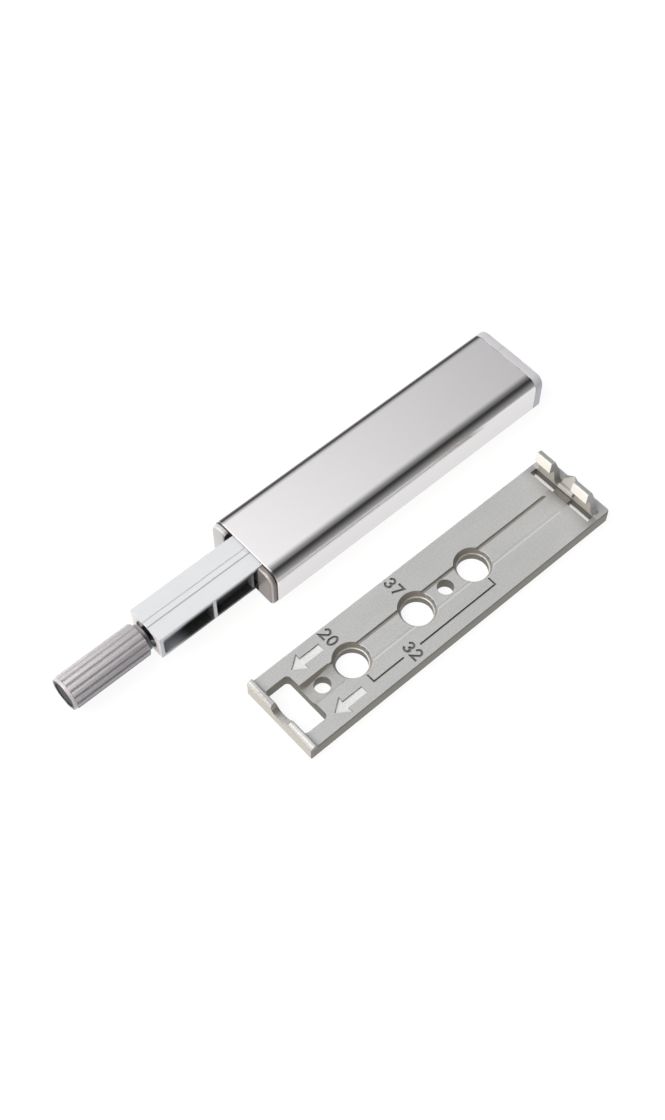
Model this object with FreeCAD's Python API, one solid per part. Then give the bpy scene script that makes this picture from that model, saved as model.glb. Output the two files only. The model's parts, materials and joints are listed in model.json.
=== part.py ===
"""Push to open catch with its clip-on adapter plate.

Frame, in millimetres: +X is the way the plunger pushes out, +Z is up, and the
origin is on the floor under the middle of the sleeve's front edge. The plunger
is modelled pushed fully out, and the adapter plate lies beside the catch.
"""
import FreeCAD
import Part

import math
import os

# Sleeve: a folded steel C-section
SLEEVE_LENGTH = 70.7
SLEEVE_WIDTH = 18.6
SLEEVE_HEIGHT = 8.9
SHEET = 0.4
SLEEVE_TOP_RADIUS = 2.4
SLEEVE_FOOT_RADIUS = 0.8
FOOT_WIDTH = 3.0

# Chassis: the moulded channel inside the sleeve, with a collar in front
COLLAR_DEPTH = 1.4
COLLAR_INSET = 0.2
COLLAR_SIDE_GAP = 0.5
COLLAR_BEVEL = 0.45
FLOOR = 0.7
RUNNER_HEIGHT = 0.4
RUNNER_WIDTH = 1.3
GUIDE_WALL = 1.0
OUTER_WALL = 0.95
RIB = 0.9
RIB_PITCH = 9.0

# Slider: the square plunger
SLIDER_WIDTH = 9.0
SLIDER_HEIGHT = 6.7
SLIDER_REACH = 25.0
SLIDER_TAIL = 23.0
TOP_SLAB = 1.1
BOTTOM_SLAB = 0.75
NOSE_WALL = 0.8
FRONT_CORE_HALF = 2.5
REAR_CORE_HALF = 3.0
WEB = 0.9
WEB_PITCH = 11.2
WEB_FIRST = 11.7
POCKET_RADIUS = 0.6
NOSE_RECESS_RADIUS = 3.0
NOSE_RECESS_DEPTH = 0.5
TOP_GROOVE_WIDTH = 1.4
TOP_GROOVE_DEPTH = 0.12
SHOE_OUT = 1.0
SHOE_LENGTH = 3.0
SHOE_HEIGHT = 2.0
SHOE_DROP = 0.3

# Latch: a cam pocket in the slider's side and a bent wire in the chassis
CAM_LENGTH = 12.4
CAM_HEIGHT = 4.4
CAM_DEPTH = 1.3
CAM_NOSE_WALL = 0.8
ISLAND_LENGTH = 4.4
ISLAND_HEIGHT = 1.5
ISLAND_NOTCH = 1.1
WIRE = 0.8
WIRE_ARM = 10.0
WIRE_BEND = 0.7
WIRE_SIDES = 8
OVERTRAVEL = 1.1

# Knob, spindle and magnet at the tip
KNOB_RADIUS = 3.65
KNOB_LENGTH = 17.9
KNOB_GAP = 1.6
KNOB_RIBS = 16
RIB_GROOVE_WIDTH = 0.55
RIB_GROOVE_DEPTH = 0.28
RIM_LENGTH = 0.7
RIM_STEP = 0.15
KNOB_COLLAR_RADIUS = 2.6
KNOB_COLLAR_LENGTH = 0.9
SPINDLE_RADIUS = 1.75
SPINDLE_IN_KNOB = 9.5
SPINDLE_IN_SLIDER = 15.0
SPINDLE_SPARE = 2.0
CUP_RADIUS = 3.05
CUP_LENGTH = 3.4
CUP_WALL = 0.45
CUP_RECESS = 0.05
MAGNET_INSET = 0.1

# Main spring, its guide rod and the buffer
COIL_WIRE = 0.6
COIL_RADIUS = 1.8
COIL_TURNS = 16
COIL_STEPS = 9
COIL_SIDES = 6
BORE_RADIUS = 2.3
ROD_RADIUS = 0.95
ROD_LENGTH = 35.5
ROD_TIP_CHAMFER = 0.4
BUFFER_LENGTH = 1.6
BUFFER_WALL = 0.8
BUFFER_SEAT = 0.4
BUFFER_GAP = 0.3

# Rear cap
CAP_FLANGE = 2.2
CAP_CROWN = 0.35
CAP_PLUG = 6.2
SPRING_SEAT_DEPTH = 3.0
CAP_ROD_DEPTH = 4.0

# Adapter plate: a die casting that the catch clips on to
PLATE_TAIL = 3.7
PLATE_WIDTH = 18.4
PLATE_THICKNESS = 3.1
PLATE_FRONT_X = 17.4
PLATE_CENTRE_Y = 29.6
PLATE_CORNER = 0.9
PLATE_FRONT_CORNER = 0.3
PLATE_EDGE = 0.2
LIP_DEPTH = 1.5
LIP_HEIGHT = 1.0
LIP_BEVEL = 0.5
NOTCH_WIDTH = 5.0
NOTCH_DEPTH = 1.7
WINDOW_LENGTH = 5.7
WINDOW_WIDTH = 11.6
WINDOW_RADIUS = 0.9
HOLE_FRONT = 18.4
HOLE_SPACING = 32.0
MIDDLE_HOLE_BACK = 17.0
SCREW_HOLE_RADIUS = 3.2
SINK_TOP_RADIUS = 3.95
SINK_LOW_RADIUS = 3.3
SINK_DEPTH = 1.3
PIN_HOLE_RADIUS = 1.7
PIN_HOLE_LEAD = 7.5
CHANNEL_WIDTH = 5.2
CHANNEL_DEPTH = 0.32
CHANNEL_SLOPE = 0.45
CHANNEL_STOP = 3.0
RAMP_DEPTH = 0.9
RAMP_SLOPE = 1.1
SLOT_WIDTH = 6.0
SLOT_LENGTH = 1.6
TRENCH_DEPTH = 0.6
RELIEF_DEPTH = 0.5
RELIEF_REACH = 1.0
HOOK_OFFSET = 4.95
HOOK_WIDTH = 4.3
HOOK_HEIGHT = 8.5
HOOK_ROOT = 1.7
HOOK_LEAN = 0.9
HOOK_WAIST = 4.9
HOOK_WAIST_BACK = 0.95
HOOK_TAPER = 0.15
HOOK_FLARE = 0.8
FLARE_HEIGHT = 1.8
FLARE_STEPS = 4
BARB_REACH = 1.4
BARB_DRAFT = 0.25
BARB_HEIGHT = 2.7
BARB_UNDERCUT = 0.45
RIDGE_LENGTH = 1.3
RIDGE_DROP = 0.5
RIDGE_ROUND = 0.3
TAB_WIDTH = 3.8
TAB_HEIGHT = 1.0
TAB_DEPTH = 0.7
GUSSET_LENGTH = 1.8
GUSSET_HEIGHT = 3.3

# Clearances
RUN_CLEARANCE = 0.1
FIT_CLEARANCE = 0.05
SEAT_CLEARANCE = 0.02
CLIP_CLEARANCE = 0.3

# Places worked out from the sizes above
SLEEVE_HALF = SLEEVE_WIDTH / 2
INNER_HALF = SLEEVE_HALF - SHEET - FIT_CLEARANCE
INNER_TOP = SLEEVE_HEIGHT - SHEET - FIT_CLEARANCE
KEEL_HALF = SLEEVE_HALF - FOOT_WIDTH - FIT_CLEARANCE
FOOT_TOP = SHEET + FIT_CLEARANCE
RUNNER_TOP = FLOOR + RUNNER_HEIGHT
SLIDER_HALF = SLIDER_WIDTH / 2
SLIDER_BASE = RUNNER_TOP + RUN_CLEARANCE
SLIDER_TOP = SLIDER_BASE + SLIDER_HEIGHT
AXIS_Z = (SLIDER_BASE + SLIDER_TOP) / 2
WAY_HALF = SLIDER_HALF + RUN_CLEARANCE
GUIDE_OUTER = WAY_HALF + GUIDE_WALL
WALL_INNER = INNER_HALF - OUTER_WALL
SHOE_TOP = SLIDER_TOP - SHOE_DROP
SHOE_BASE = SHOE_TOP - SHOE_HEIGHT
SHELF_TOP = SHOE_BASE - RUN_CLEARANCE
STOP_X = SHOE_LENGTH - SLIDER_TAIL
CHASSIS_REAR = CAP_PLUG - SLEEVE_LENGTH
STROKE = -CHASSIS_REAR - SLIDER_TAIL - BUFFER_GAP - BUFFER_LENGTH + BUFFER_SEAT
SPRING_FRONT = SLIDER_REACH - SPINDLE_IN_SLIDER - SPINDLE_SPARE - 2 * WEB
SPRING_REAR = CHASSIS_REAR - SPRING_SEAT_DEPTH
CAM_FRONT = CAM_LENGTH - SLIDER_TAIL
CAM_BASE = AXIS_Z - CAM_HEIGHT / 2
WIRE_RADIUS = WIRE / 2
PIN_X = CAM_FRONT - STROKE - OVERTRAVEL
PIVOT_X = PIN_X - WIRE_ARM
PIVOT_Z = CAM_BASE + WIRE
WIRE_Y = GUIDE_OUTER + WIRE_RADIUS + 2 * RUN_CLEARANCE
KNOB_REAR = SLIDER_REACH + KNOB_GAP
TIP_X = KNOB_REAR + KNOB_LENGTH
PLATE_LOW_Y = PLATE_CENTRE_Y - PLATE_WIDTH / 2
HOOK_BACK = LIP_DEPTH + COLLAR_DEPTH + SLEEVE_LENGTH + CAP_FLANGE + CLIP_CLEARANCE
HOOK_FRONT = PLATE_FRONT_X - HOOK_BACK
PLATE_LENGTH = HOOK_BACK + PLATE_TAIL


def box(x0, x1, y0, y1, z0, z1):
    """Box between two corners."""
    corner = FreeCAD.Vector(min(x0, x1), min(y0, y1), min(z0, z1))
    return Part.makeBox(abs(x1 - x0), abs(y1 - y0), abs(z1 - z0), corner)


def both_sides(x0, x1, y0, y1, z0, z1):
    """The same box on both sides of the middle plane."""
    return box(x0, x1, y0, y1, z0, z1).fuse(box(x0, x1, -y1, -y0, z0, z1))


def rod_x(x0, x1, radius, y=0.0, z=AXIS_Z):
    """Cylinder along X."""
    start = FreeCAD.Vector(min(x0, x1), y, z)
    return Part.makeCylinder(radius, abs(x1 - x0), start, FreeCAD.Vector(1, 0, 0))


def rod_z(x, y, z0, z1, radius):
    """Cylinder along Z."""
    return Part.makeCylinder(radius, z1 - z0, FreeCAD.Vector(x, y, z0))


def edges_along(shape, direction, accept):
    """Straight edges along a direction whose middle point is accepted."""
    found = []
    for edge in shape.Edges:
        if len(edge.Vertexes) != 2:
            continue
        run = edge.Vertexes[1].Point - edge.Vertexes[0].Point
        straight = abs(abs(run.dot(direction)) - run.Length) < 1e-6
        if straight and accept(edge.CenterOfMass):
            found.append(edge)
    return found


def rounded_bar(x0, x1, half, z0, z1, top_radius, foot_radius):
    """Bar along X with rounded upper and lower long edges."""
    bar = box(x0, x1, -half, half, z0, z1)
    middle = (z0 + z1) / 2
    along = FreeCAD.Vector(1, 0, 0)
    if top_radius > 0:
        bar = bar.makeFillet(top_radius, edges_along(bar, along, lambda p: p.z > middle))
    if foot_radius > 0:
        low = edges_along(bar, along, lambda p: p.z < z0 + 1e-6)
        bar = bar.makeFillet(foot_radius, low)
    return bar


def polygon_face(corners):
    """Flat face inside a closed outline."""
    return Part.Face(Part.makePolygon(corners + corners[:1]))


def extrude(points, direction):
    """Solid from a closed outline of points, pushed along a direction."""
    return polygon_face([FreeCAD.Vector(*p) for p in points]).extrude(FreeCAD.Vector(*direction))


def rounded_slot(x0, x1, y0, y1, z0, z1, radius):
    """Box whose upright edges are rounded."""
    block = box(x0, x1, y0, y1, z0, z1)
    return block.makeFillet(radius, edges_along(block, FreeCAD.Vector(0, 0, 1), lambda p: True))


def loft(outlines):
    """Solid with flat sides between outlines of equal point counts."""
    wires = [Part.makePolygon([FreeCAD.Vector(*p) for p in line + line[:1]]) for line in outlines]
    return Part.makeLoft(wires, True, True)


def cut_corner_outline(x0, x1, half, middle, corner, z):
    """Outline of a rectangle whose rear corners are cut off."""
    return [(x1, middle - half, z), (x1, middle + half, z), (x0 + corner, middle + half, z),
            (x0, middle + half - corner, z), (x0, middle - half + corner, z),
            (x0 + corner, middle - half, z)]


def bent_rod(points, radius, bend, sides):
    """Many-sided rod through points of one level, with an arc at each corner."""
    corners = [FreeCAD.Vector(*p) for p in points]
    edges = []
    start = corners[0]
    for before, corner, after in zip(corners, corners[1:], corners[2:]):
        back = (before - corner).normalize()
        ahead = (after - corner).normalize()
        entry = corner + back * bend
        leave = corner + ahead * bend
        middle = corner + (back + ahead) * bend * (1 - math.sqrt(0.5))
        edges.append(Part.LineSegment(start, entry).toShape())
        edges.append(Part.Arc(entry, middle, leave).toShape())
        start = leave
    edges.append(Part.LineSegment(start, corners[-1]).toShape())
    path = Part.Wire(edges)
    up = FreeCAD.Vector(0, 0, 1)
    across = (corners[1] - corners[0]).normalize().cross(up)
    section = []
    for side in range(sides + 1):
        angle = 2 * math.pi * side / sides
        section.append(corners[0] + across * radius * math.cos(angle) + up * radius * math.sin(angle))
    return path.makePipeShell([Part.makePolygon(section)], True, True)


def sleeve():
    """Folded sheet sleeve, open underneath between its two feet."""
    outer = rounded_bar(-SLEEVE_LENGTH, 0, SLEEVE_HALF, 0, SLEEVE_HEIGHT,
                        SLEEVE_TOP_RADIUS, SLEEVE_FOOT_RADIUS)
    inner = rounded_bar(-SLEEVE_LENGTH - 1, 1, SLEEVE_HALF - SHEET, SHEET, SLEEVE_HEIGHT - SHEET,
                        SLEEVE_TOP_RADIUS - SHEET, SLEEVE_FOOT_RADIUS - SHEET)
    gap_half = SLEEVE_HALF - FOOT_WIDTH
    return outer.cut(inner).cut(box(-SLEEVE_LENGTH - 1, 1, -gap_half, gap_half, -1, FOOT_TOP))


def core_bar(x0, x1):
    """What fills the sleeve's section, with a keel between the sleeve's feet."""
    body = rounded_bar(x0, x1, INNER_HALF, FOOT_TOP, INNER_TOP,
                       SLEEVE_TOP_RADIUS - SHEET, SLEEVE_FOOT_RADIUS - SHEET)
    return body.fuse(box(x0, x1, -KEEL_HALF, KEEL_HALF, 0, FOOT_TOP)).removeSplitter()


def collar():
    """Rim that stands proud of the sleeve and wraps the slider's sides."""
    half = SLEEVE_HALF - COLLAR_INSET
    rim = rounded_bar(0, COLLAR_DEPTH, half, 0, SLEEVE_HEIGHT - COLLAR_INSET,
                      SLEEVE_TOP_RADIUS - COLLAR_INSET, SLEEVE_FOOT_RADIUS - COLLAR_INSET)
    outer_front = [e for e in rim.Edges
                   if abs(e.BoundBox.XMin - COLLAR_DEPTH) < 1e-6 and e.BoundBox.ZMax > COLLAR_BEVEL]
    rim = rim.makeChamfer(COLLAR_BEVEL, outer_front)
    opening = SLIDER_HALF + COLLAR_SIDE_GAP
    return rim.cut(box(-1, COLLAR_DEPTH + 1, -opening, opening, FLOOR, SLEEVE_HEIGHT + 1))


def wall_cores():
    """Hollows between the guide walls and the outer walls, split by ribs."""
    cores = []
    floor = FOOT_TOP + FLOOR
    room = -CHASSIS_REAR - 2 * RIB
    count = int(room // RIB_PITCH)
    cell = room / count
    for step in range(count):
        front = -RIB - step * cell
        cores.append(both_sides(front - cell + RIB, front, GUIDE_OUTER, WALL_INNER, floor, INNER_TOP + 1))
    return cores


def latch_room():
    """Room for the latch wire's arm and the window for its pin."""
    floor = FOOT_TOP + FLOOR
    side = box(PIVOT_X - WIRE, PIN_X + 3 * WIRE, GUIDE_OUTER, WALL_INNER, floor, INNER_TOP + 1)
    window = box(PIN_X - 2 * WIRE, PIN_X + 2 * WIRE, WAY_HALF - 1, GUIDE_OUTER + 1,
                 PIVOT_Z - WIRE, INNER_TOP + 1)
    return side.fuse(window)


def chassis():
    """Channel that guides the slider, with the collar in front."""
    body = core_bar(CHASSIS_REAR, 0)
    body = body.cut(box(CHASSIS_REAR - 1, 1, -WAY_HALF, WAY_HALF, RUNNER_TOP, INNER_TOP + 1))
    trough = WAY_HALF - RUNNER_WIDTH
    body = body.cut(box(CHASSIS_REAR - 1, 1, -trough, trough, FLOOR, INNER_TOP))
    for core in wall_cores():
        body = body.cut(core)
    reach = SLIDER_HALF + SHOE_OUT + RUN_CLEARANCE
    body = body.cut(both_sides(CHASSIS_REAR - 1, STOP_X, WAY_HALF - 1, reach, SHELF_TOP, INNER_TOP + 1))
    body = body.cut(latch_room())
    boss = box(PIVOT_X - 2 * WIRE_RADIUS, PIVOT_X + 2 * WIRE_RADIUS,
               WIRE_Y + WIRE_BEND + RUN_CLEARANCE, WALL_INNER + OUTER_WALL / 2,
               FLOOR, PIVOT_Z + 2 * WIRE_RADIUS)
    body = body.fuse(boss).fuse(collar())
    pivot = Part.makeCylinder(WIRE_RADIUS + FIT_CLEARANCE, INNER_HALF - WIRE_Y - FIT_CLEARANCE,
                              FreeCAD.Vector(PIVOT_X, WIRE_Y, PIVOT_Z), FreeCAD.Vector(0, 1, 0))
    return body.cut(pivot).removeSplitter()


def rear_cap():
    """Plug and flange that close the sleeve's rear and seat the spring."""
    rear = -SLEEVE_LENGTH - CAP_FLANGE
    plug = core_bar(-SLEEVE_LENGTH, CHASSIS_REAR)
    flange = rounded_bar(rear, -SLEEVE_LENGTH, SLEEVE_HALF, 0, SLEEVE_HEIGHT,
                         SLEEVE_TOP_RADIUS, SLEEVE_FOOT_RADIUS)
    crown = [e for e in flange.Edges if abs(e.BoundBox.XMax - rear) < 1e-6]
    flange = flange.makeChamfer(CAP_CROWN, crown)
    cap = plug.fuse(flange).removeSplitter()
    seat = rod_x(SPRING_REAR, CHASSIS_REAR + 1, BORE_RADIUS)
    buffer_seat = rod_x(CHASSIS_REAR - BUFFER_SEAT, CHASSIS_REAR + 1,
                        BORE_RADIUS + BUFFER_WALL + SEAT_CLEARANCE)
    rod_hole = rod_x(SPRING_REAR - CAP_ROD_DEPTH, SPRING_REAR + 1, ROD_RADIUS + SEAT_CLEARANCE)
    cap = cap.cut(seat).cut(buffer_seat).cut(rod_hole)
    depth = HOOK_LEAN + BARB_REACH
    low = HOOK_HEIGHT - BARB_HEIGHT - BARB_UNDERCUT - CLIP_CLEARANCE
    high = HOOK_HEIGHT + CLIP_CLEARANCE / 3
    inner = HOOK_OFFSET - HOOK_WIDTH / 2 - CLIP_CLEARANCE
    outer = HOOK_OFFSET + HOOK_WIDTH / 2 + CLIP_CLEARANCE
    cap = cap.cut(both_sides(rear - 1, rear + depth, inner, outer, low, high))
    return cap.cut(both_sides(rear - 1, rear + HOOK_LEAN, inner, outer, -1, low + CLIP_CLEARANCE))


def slider_pockets():
    """Open pockets along both sides, split by upright webs."""
    cuts = []
    low = SLIDER_BASE + BOTTOM_SLAB
    high = SLIDER_TOP - TOP_SLAB
    front = SLIDER_REACH - NOSE_WALL
    web = WEB_FIRST
    end = CAM_FRONT + CAM_NOSE_WALL
    while front > end + WEB_PITCH / 4:
        rear = max(web + WEB / 2, end)
        core = FRONT_CORE_HALF if rear > SPRING_FRONT else REAR_CORE_HALF
        for side in (1, -1):
            cut = box(rear, front, side * core, side * (SLIDER_HALF + 1), low, high)
            across = FreeCAD.Vector(0, 1, 0)
            cut = cut.makeFillet(POCKET_RADIUS, edges_along(cut, across, lambda p: True))
            cuts.append(cut)
        front = web - WEB / 2
        web -= WEB_PITCH
    return cuts


def cam_pocket():
    """Pocket on one side in which the latch wire's pin runs round an island."""
    rear = -SLIDER_TAIL
    top = CAM_BASE + CAM_HEIGHT
    inner = SLIDER_HALF - CAM_DEPTH
    room = box(rear - 1, CAM_FRONT, inner, SLIDER_HALF + 1, CAM_BASE, top)
    front = CAM_FRONT - OVERTRAVEL - 2 * WIRE
    base = PIVOT_Z + WIRE_RADIUS + 2 * RUN_CLEARANCE
    peak = base + ISLAND_HEIGHT
    middle = (base + peak) / 2
    heart = [(front - ISLAND_LENGTH, inner, middle), (front - ISLAND_LENGTH / 2, inner, base),
             (front, inner, base), (front - ISLAND_NOTCH, inner, middle),
             (front, inner, peak), (front - ISLAND_LENGTH / 2, inner, peak)]
    return room.cut(extrude(heart, (0, CAM_DEPTH + 1, 0)))


def slider():
    """Square plunger with side pockets, rear shoes and the latch cam."""
    body = box(-SLIDER_TAIL, SLIDER_REACH, -SLIDER_HALF, SLIDER_HALF, SLIDER_BASE, SLIDER_TOP)
    body = body.makeChamfer(RUN_CLEARANCE, edges_along(body, FreeCAD.Vector(1, 0, 0), lambda p: True))
    shoes = both_sides(-SLIDER_TAIL, STOP_X, SLIDER_HALF - 1, SLIDER_HALF + SHOE_OUT, SHOE_BASE, SHOE_TOP)
    body = body.fuse(shoes).removeSplitter()
    for cut in slider_pockets():
        body = body.cut(cut)
    body = body.cut(cam_pocket())
    body = body.cut(rod_x(-SLIDER_TAIL - 1, SPRING_FRONT, BORE_RADIUS))
    socket_end = SLIDER_REACH - SPINDLE_IN_SLIDER - SPINDLE_SPARE
    body = body.cut(rod_x(socket_end, SLIDER_REACH + 1, SPINDLE_RADIUS + FIT_CLEARANCE))
    body = body.cut(rod_x(SLIDER_REACH - NOSE_RECESS_DEPTH, SLIDER_REACH + 1, NOSE_RECESS_RADIUS))
    groove = TOP_GROOVE_WIDTH / 2
    return body.cut(box(-SLIDER_TAIL - 1, SLIDER_REACH + 1, -groove, groove,
                        SLIDER_TOP - TOP_GROOVE_DEPTH, SLIDER_TOP + 1))


def knob():
    """Ribbed barrel with a plain rim round the magnet."""
    rim_x = TIP_X - RIM_LENGTH
    barrel = rod_x(KNOB_REAR, rim_x, KNOB_RADIUS)
    bottom = KNOB_RADIUS - RIB_GROOVE_DEPTH
    half = RIB_GROOVE_WIDTH / 2
    groove = box(KNOB_REAR - 1, rim_x + 1, -half, half, AXIS_Z + bottom, AXIS_Z + KNOB_RADIUS + 1)
    centre = FreeCAD.Vector(0, 0, AXIS_Z)
    grooves = []
    for step in range(KNOB_RIBS):
        turned = groove.copy()
        turned.rotate(centre, FreeCAD.Vector(1, 0, 0), (step + 0.5) * 360.0 / KNOB_RIBS)
        grooves.append(turned)
    barrel = barrel.cut(Part.makeCompound(grooves))
    rim = rod_x(rim_x, TIP_X, KNOB_RADIUS - RIM_STEP)
    rim = rim.makeChamfer(RIM_STEP, [e for e in rim.Edges if abs(e.BoundBox.XMin - TIP_X) < 1e-6])
    body = barrel.fuse(rim)
    body = body.cut(rod_x(TIP_X - CUP_RECESS - CUP_LENGTH, TIP_X + 1, CUP_RADIUS + FIT_CLEARANCE))
    neck = KNOB_REAR - KNOB_COLLAR_LENGTH
    body = body.fuse(rod_x(neck, KNOB_REAR + 1, KNOB_COLLAR_RADIUS))
    return body.cut(rod_x(neck - 1, KNOB_REAR + SPINDLE_IN_KNOB, SPINDLE_RADIUS + SEAT_CLEARANCE))


def spindle():
    """Threaded shank that carries the knob, shown at its mean diameter."""
    start = SLIDER_REACH - SPINDLE_IN_SLIDER
    shank = rod_x(start, KNOB_REAR + SPINDLE_IN_KNOB, SPINDLE_RADIUS)
    tip = [e for e in shank.Edges if abs(e.BoundBox.XMax - start) < 1e-6]
    return shank.makeChamfer(SPINDLE_RADIUS / 4, tip)


def magnet_cup():
    """Steel cup round the magnet, snapped into the knob so that it can turn."""
    front = TIP_X - CUP_RECESS
    rear = front - CUP_LENGTH + FIT_CLEARANCE
    cup = rod_x(rear, front, CUP_RADIUS)
    return cup.cut(rod_x(rear + CUP_WALL, front + 1, CUP_RADIUS - CUP_WALL))


def magnet():
    """Disc magnet in its cup."""
    front = TIP_X - CUP_RECESS
    rear = front - CUP_LENGTH + FIT_CLEARANCE + CUP_WALL
    return rod_x(rear, front - MAGNET_INSET, CUP_RADIUS - CUP_WALL - SEAT_CLEARANCE)


def main_spring():
    """Compression spring from the cap's seat to the end of the slider's bore."""
    wire = COIL_WIRE / 2
    length = SPRING_FRONT - SPRING_REAR - 2 * wire
    steps = COIL_TURNS * COIL_STEPS
    rings = []
    for step in range(steps + 1):
        turn = 2 * math.pi * step / COIL_STEPS
        middle = SPRING_REAR + wire + length * step / steps
        ring = []
        for side in range(COIL_SIDES):
            angle = 2 * math.pi * side / COIL_SIDES
            radius = COIL_RADIUS + wire * math.cos(angle)
            ring.append(FreeCAD.Vector(middle + wire * math.sin(angle), radius * math.cos(turn),
                                       AXIS_Z + radius * math.sin(turn)))
        rings.append(ring)
    faces = [polygon_face(rings[0]), polygon_face(rings[-1])]
    for near, far in zip(rings, rings[1:]):
        for side in range(COIL_SIDES):
            beside = (side + 1) % COIL_SIDES
            faces.append(polygon_face([near[side], near[beside], far[beside]]))
            faces.append(polygon_face([near[side], far[beside], far[side]]))
    shell = Part.makeShell(faces)
    shell.sewShape()
    return Part.makeSolid(Part.Shell(shell.Faces))


def spring_rod():
    """Rod in the rear cap that keeps the spring straight."""
    rear = SPRING_REAR - CAP_ROD_DEPTH
    rod = rod_x(rear, rear + ROD_LENGTH, ROD_RADIUS)
    tip = [e for e in rod.Edges if abs(e.BoundBox.XMin - rear - ROD_LENGTH) < 1e-6]
    return rod.makeChamfer(ROD_TIP_CHAMFER, tip)


def rear_buffer():
    """Rubber ring that the slider meets at the end of its stroke."""
    rear = CHASSIS_REAR - BUFFER_SEAT
    ring = rod_x(rear, rear + BUFFER_LENGTH, BORE_RADIUS + BUFFER_WALL)
    return ring.cut(rod_x(rear - 1, rear + BUFFER_LENGTH + 1, BORE_RADIUS))


def latch_wire():
    """Bent wire whose pin runs in the slider's cam pocket."""
    pin_y = SLIDER_HALF - CAM_DEPTH + 2 * RUN_CLEARANCE
    leg_y = INNER_HALF - 2 * FIT_CLEARANCE
    path = [(PIVOT_X, leg_y, PIVOT_Z), (PIVOT_X, WIRE_Y, PIVOT_Z),
            (PIN_X, WIRE_Y, PIVOT_Z), (PIN_X, pin_y, PIVOT_Z)]
    return bent_rod(path, WIRE_RADIUS, WIRE_BEND, WIRE_SIDES)


def plate_x(back):
    """X of a place given as its distance behind the plate's front edge."""
    return PLATE_FRONT_X - back


def plate_block(top):
    """Block with the plate's outline, its rear corners rounder than the front ones."""
    rear, front = plate_x(PLATE_LENGTH), plate_x(0)
    block = box(rear, front, PLATE_LOW_Y, PLATE_LOW_Y + PLATE_WIDTH, 0, top)
    up = FreeCAD.Vector(0, 0, 1)
    block = block.makeFillet(PLATE_CORNER, edges_along(block, up, lambda p: p.x < rear + 1e-6))
    return block.makeFillet(PLATE_FRONT_CORNER, edges_along(block, up, lambda p: p.x > front - 1e-6))


def plate_blank():
    """Plate with the raised and notched lip along its front."""
    low = PLATE_LOW_Y
    blank = plate_block(PLATE_THICKNESS)
    rim = [e for e in blank.Edges if e.BoundBox.ZMin > PLATE_THICKNESS - 1e-6]
    blank = blank.makeChamfer(PLATE_EDGE, rim)
    top = PLATE_THICKNESS + LIP_HEIGHT
    front, back = plate_x(0), plate_x(LIP_DEPTH)
    profile = [(front - LIP_BEVEL, low, top), (back + LIP_BEVEL / 2, low, top),
               (back, low, top - LIP_BEVEL), (back, low, PLATE_THICKNESS / 2),
               (front, low, PLATE_THICKNESS / 2), (front, low, top - LIP_BEVEL)]
    lip = extrude(profile, (0, PLATE_WIDTH, 0))
    radius = (NOTCH_WIDTH ** 2 / 4 + NOTCH_DEPTH ** 2) / (2 * NOTCH_DEPTH)
    notch = rod_x(back - 1, front + 1, radius, PLATE_CENTRE_Y, top - NOTCH_DEPTH + radius)
    return blank.fuse(lip.common(plate_block(top))).cut(notch).removeSplitter()


def screw_hole(back):
    """Countersunk screw hole."""
    place = FreeCAD.Vector(plate_x(back), PLATE_CENTRE_Y, PLATE_THICKNESS - SINK_DEPTH)
    sink = Part.makeCone(SINK_LOW_RADIUS, SINK_TOP_RADIUS, SINK_DEPTH, place)
    through = rod_z(place.x, place.y, -1, PLATE_THICKNESS, SCREW_HOLE_RADIUS)
    clear = rod_z(place.x, place.y, PLATE_THICKNESS, PLATE_THICKNESS + 1, SINK_TOP_RADIUS)
    return through.fuse(sink).fuse(clear)


def plate_channel():
    """Shallow channel with leaning walls, and its deeper end at the window."""
    half = CHANNEL_WIDTH / 2
    start = plate_x(LIP_DEPTH + WINDOW_LENGTH - 1)
    rear = HOOK_FRONT + CHANNEL_STOP
    outlines = []
    for step in (-1, 1):
        spread = step * CHANNEL_SLOPE
        outlines.append(cut_corner_outline(rear - spread, start, half + (spread - CHANNEL_SLOPE) / 2,
                                           PLATE_CENTRE_Y, half / 3,
                                           PLATE_THICKNESS + step * CHANNEL_DEPTH))
    channel = loft(outlines)
    trough = []
    edge = plate_x(LIP_DEPTH + WINDOW_LENGTH)
    for x, depth, slope in ((plate_x(HOLE_FRONT - SINK_TOP_RADIUS), CHANNEL_DEPTH, CHANNEL_SLOPE),
                            (edge, RAMP_DEPTH, RAMP_SLOPE)):
        floor = PLATE_THICKNESS - depth
        trough.append([(x, PLATE_CENTRE_Y - half, PLATE_THICKNESS + 1),
                       (x, PLATE_CENTRE_Y - half, PLATE_THICKNESS),
                       (x, PLATE_CENTRE_Y - half + slope, floor),
                       (x, PLATE_CENTRE_Y + half - slope, floor),
                       (x, PLATE_CENTRE_Y + half, PLATE_THICKNESS),
                       (x, PLATE_CENTRE_Y + half, PLATE_THICKNESS + 1)])
    return channel, loft(trough)


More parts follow.
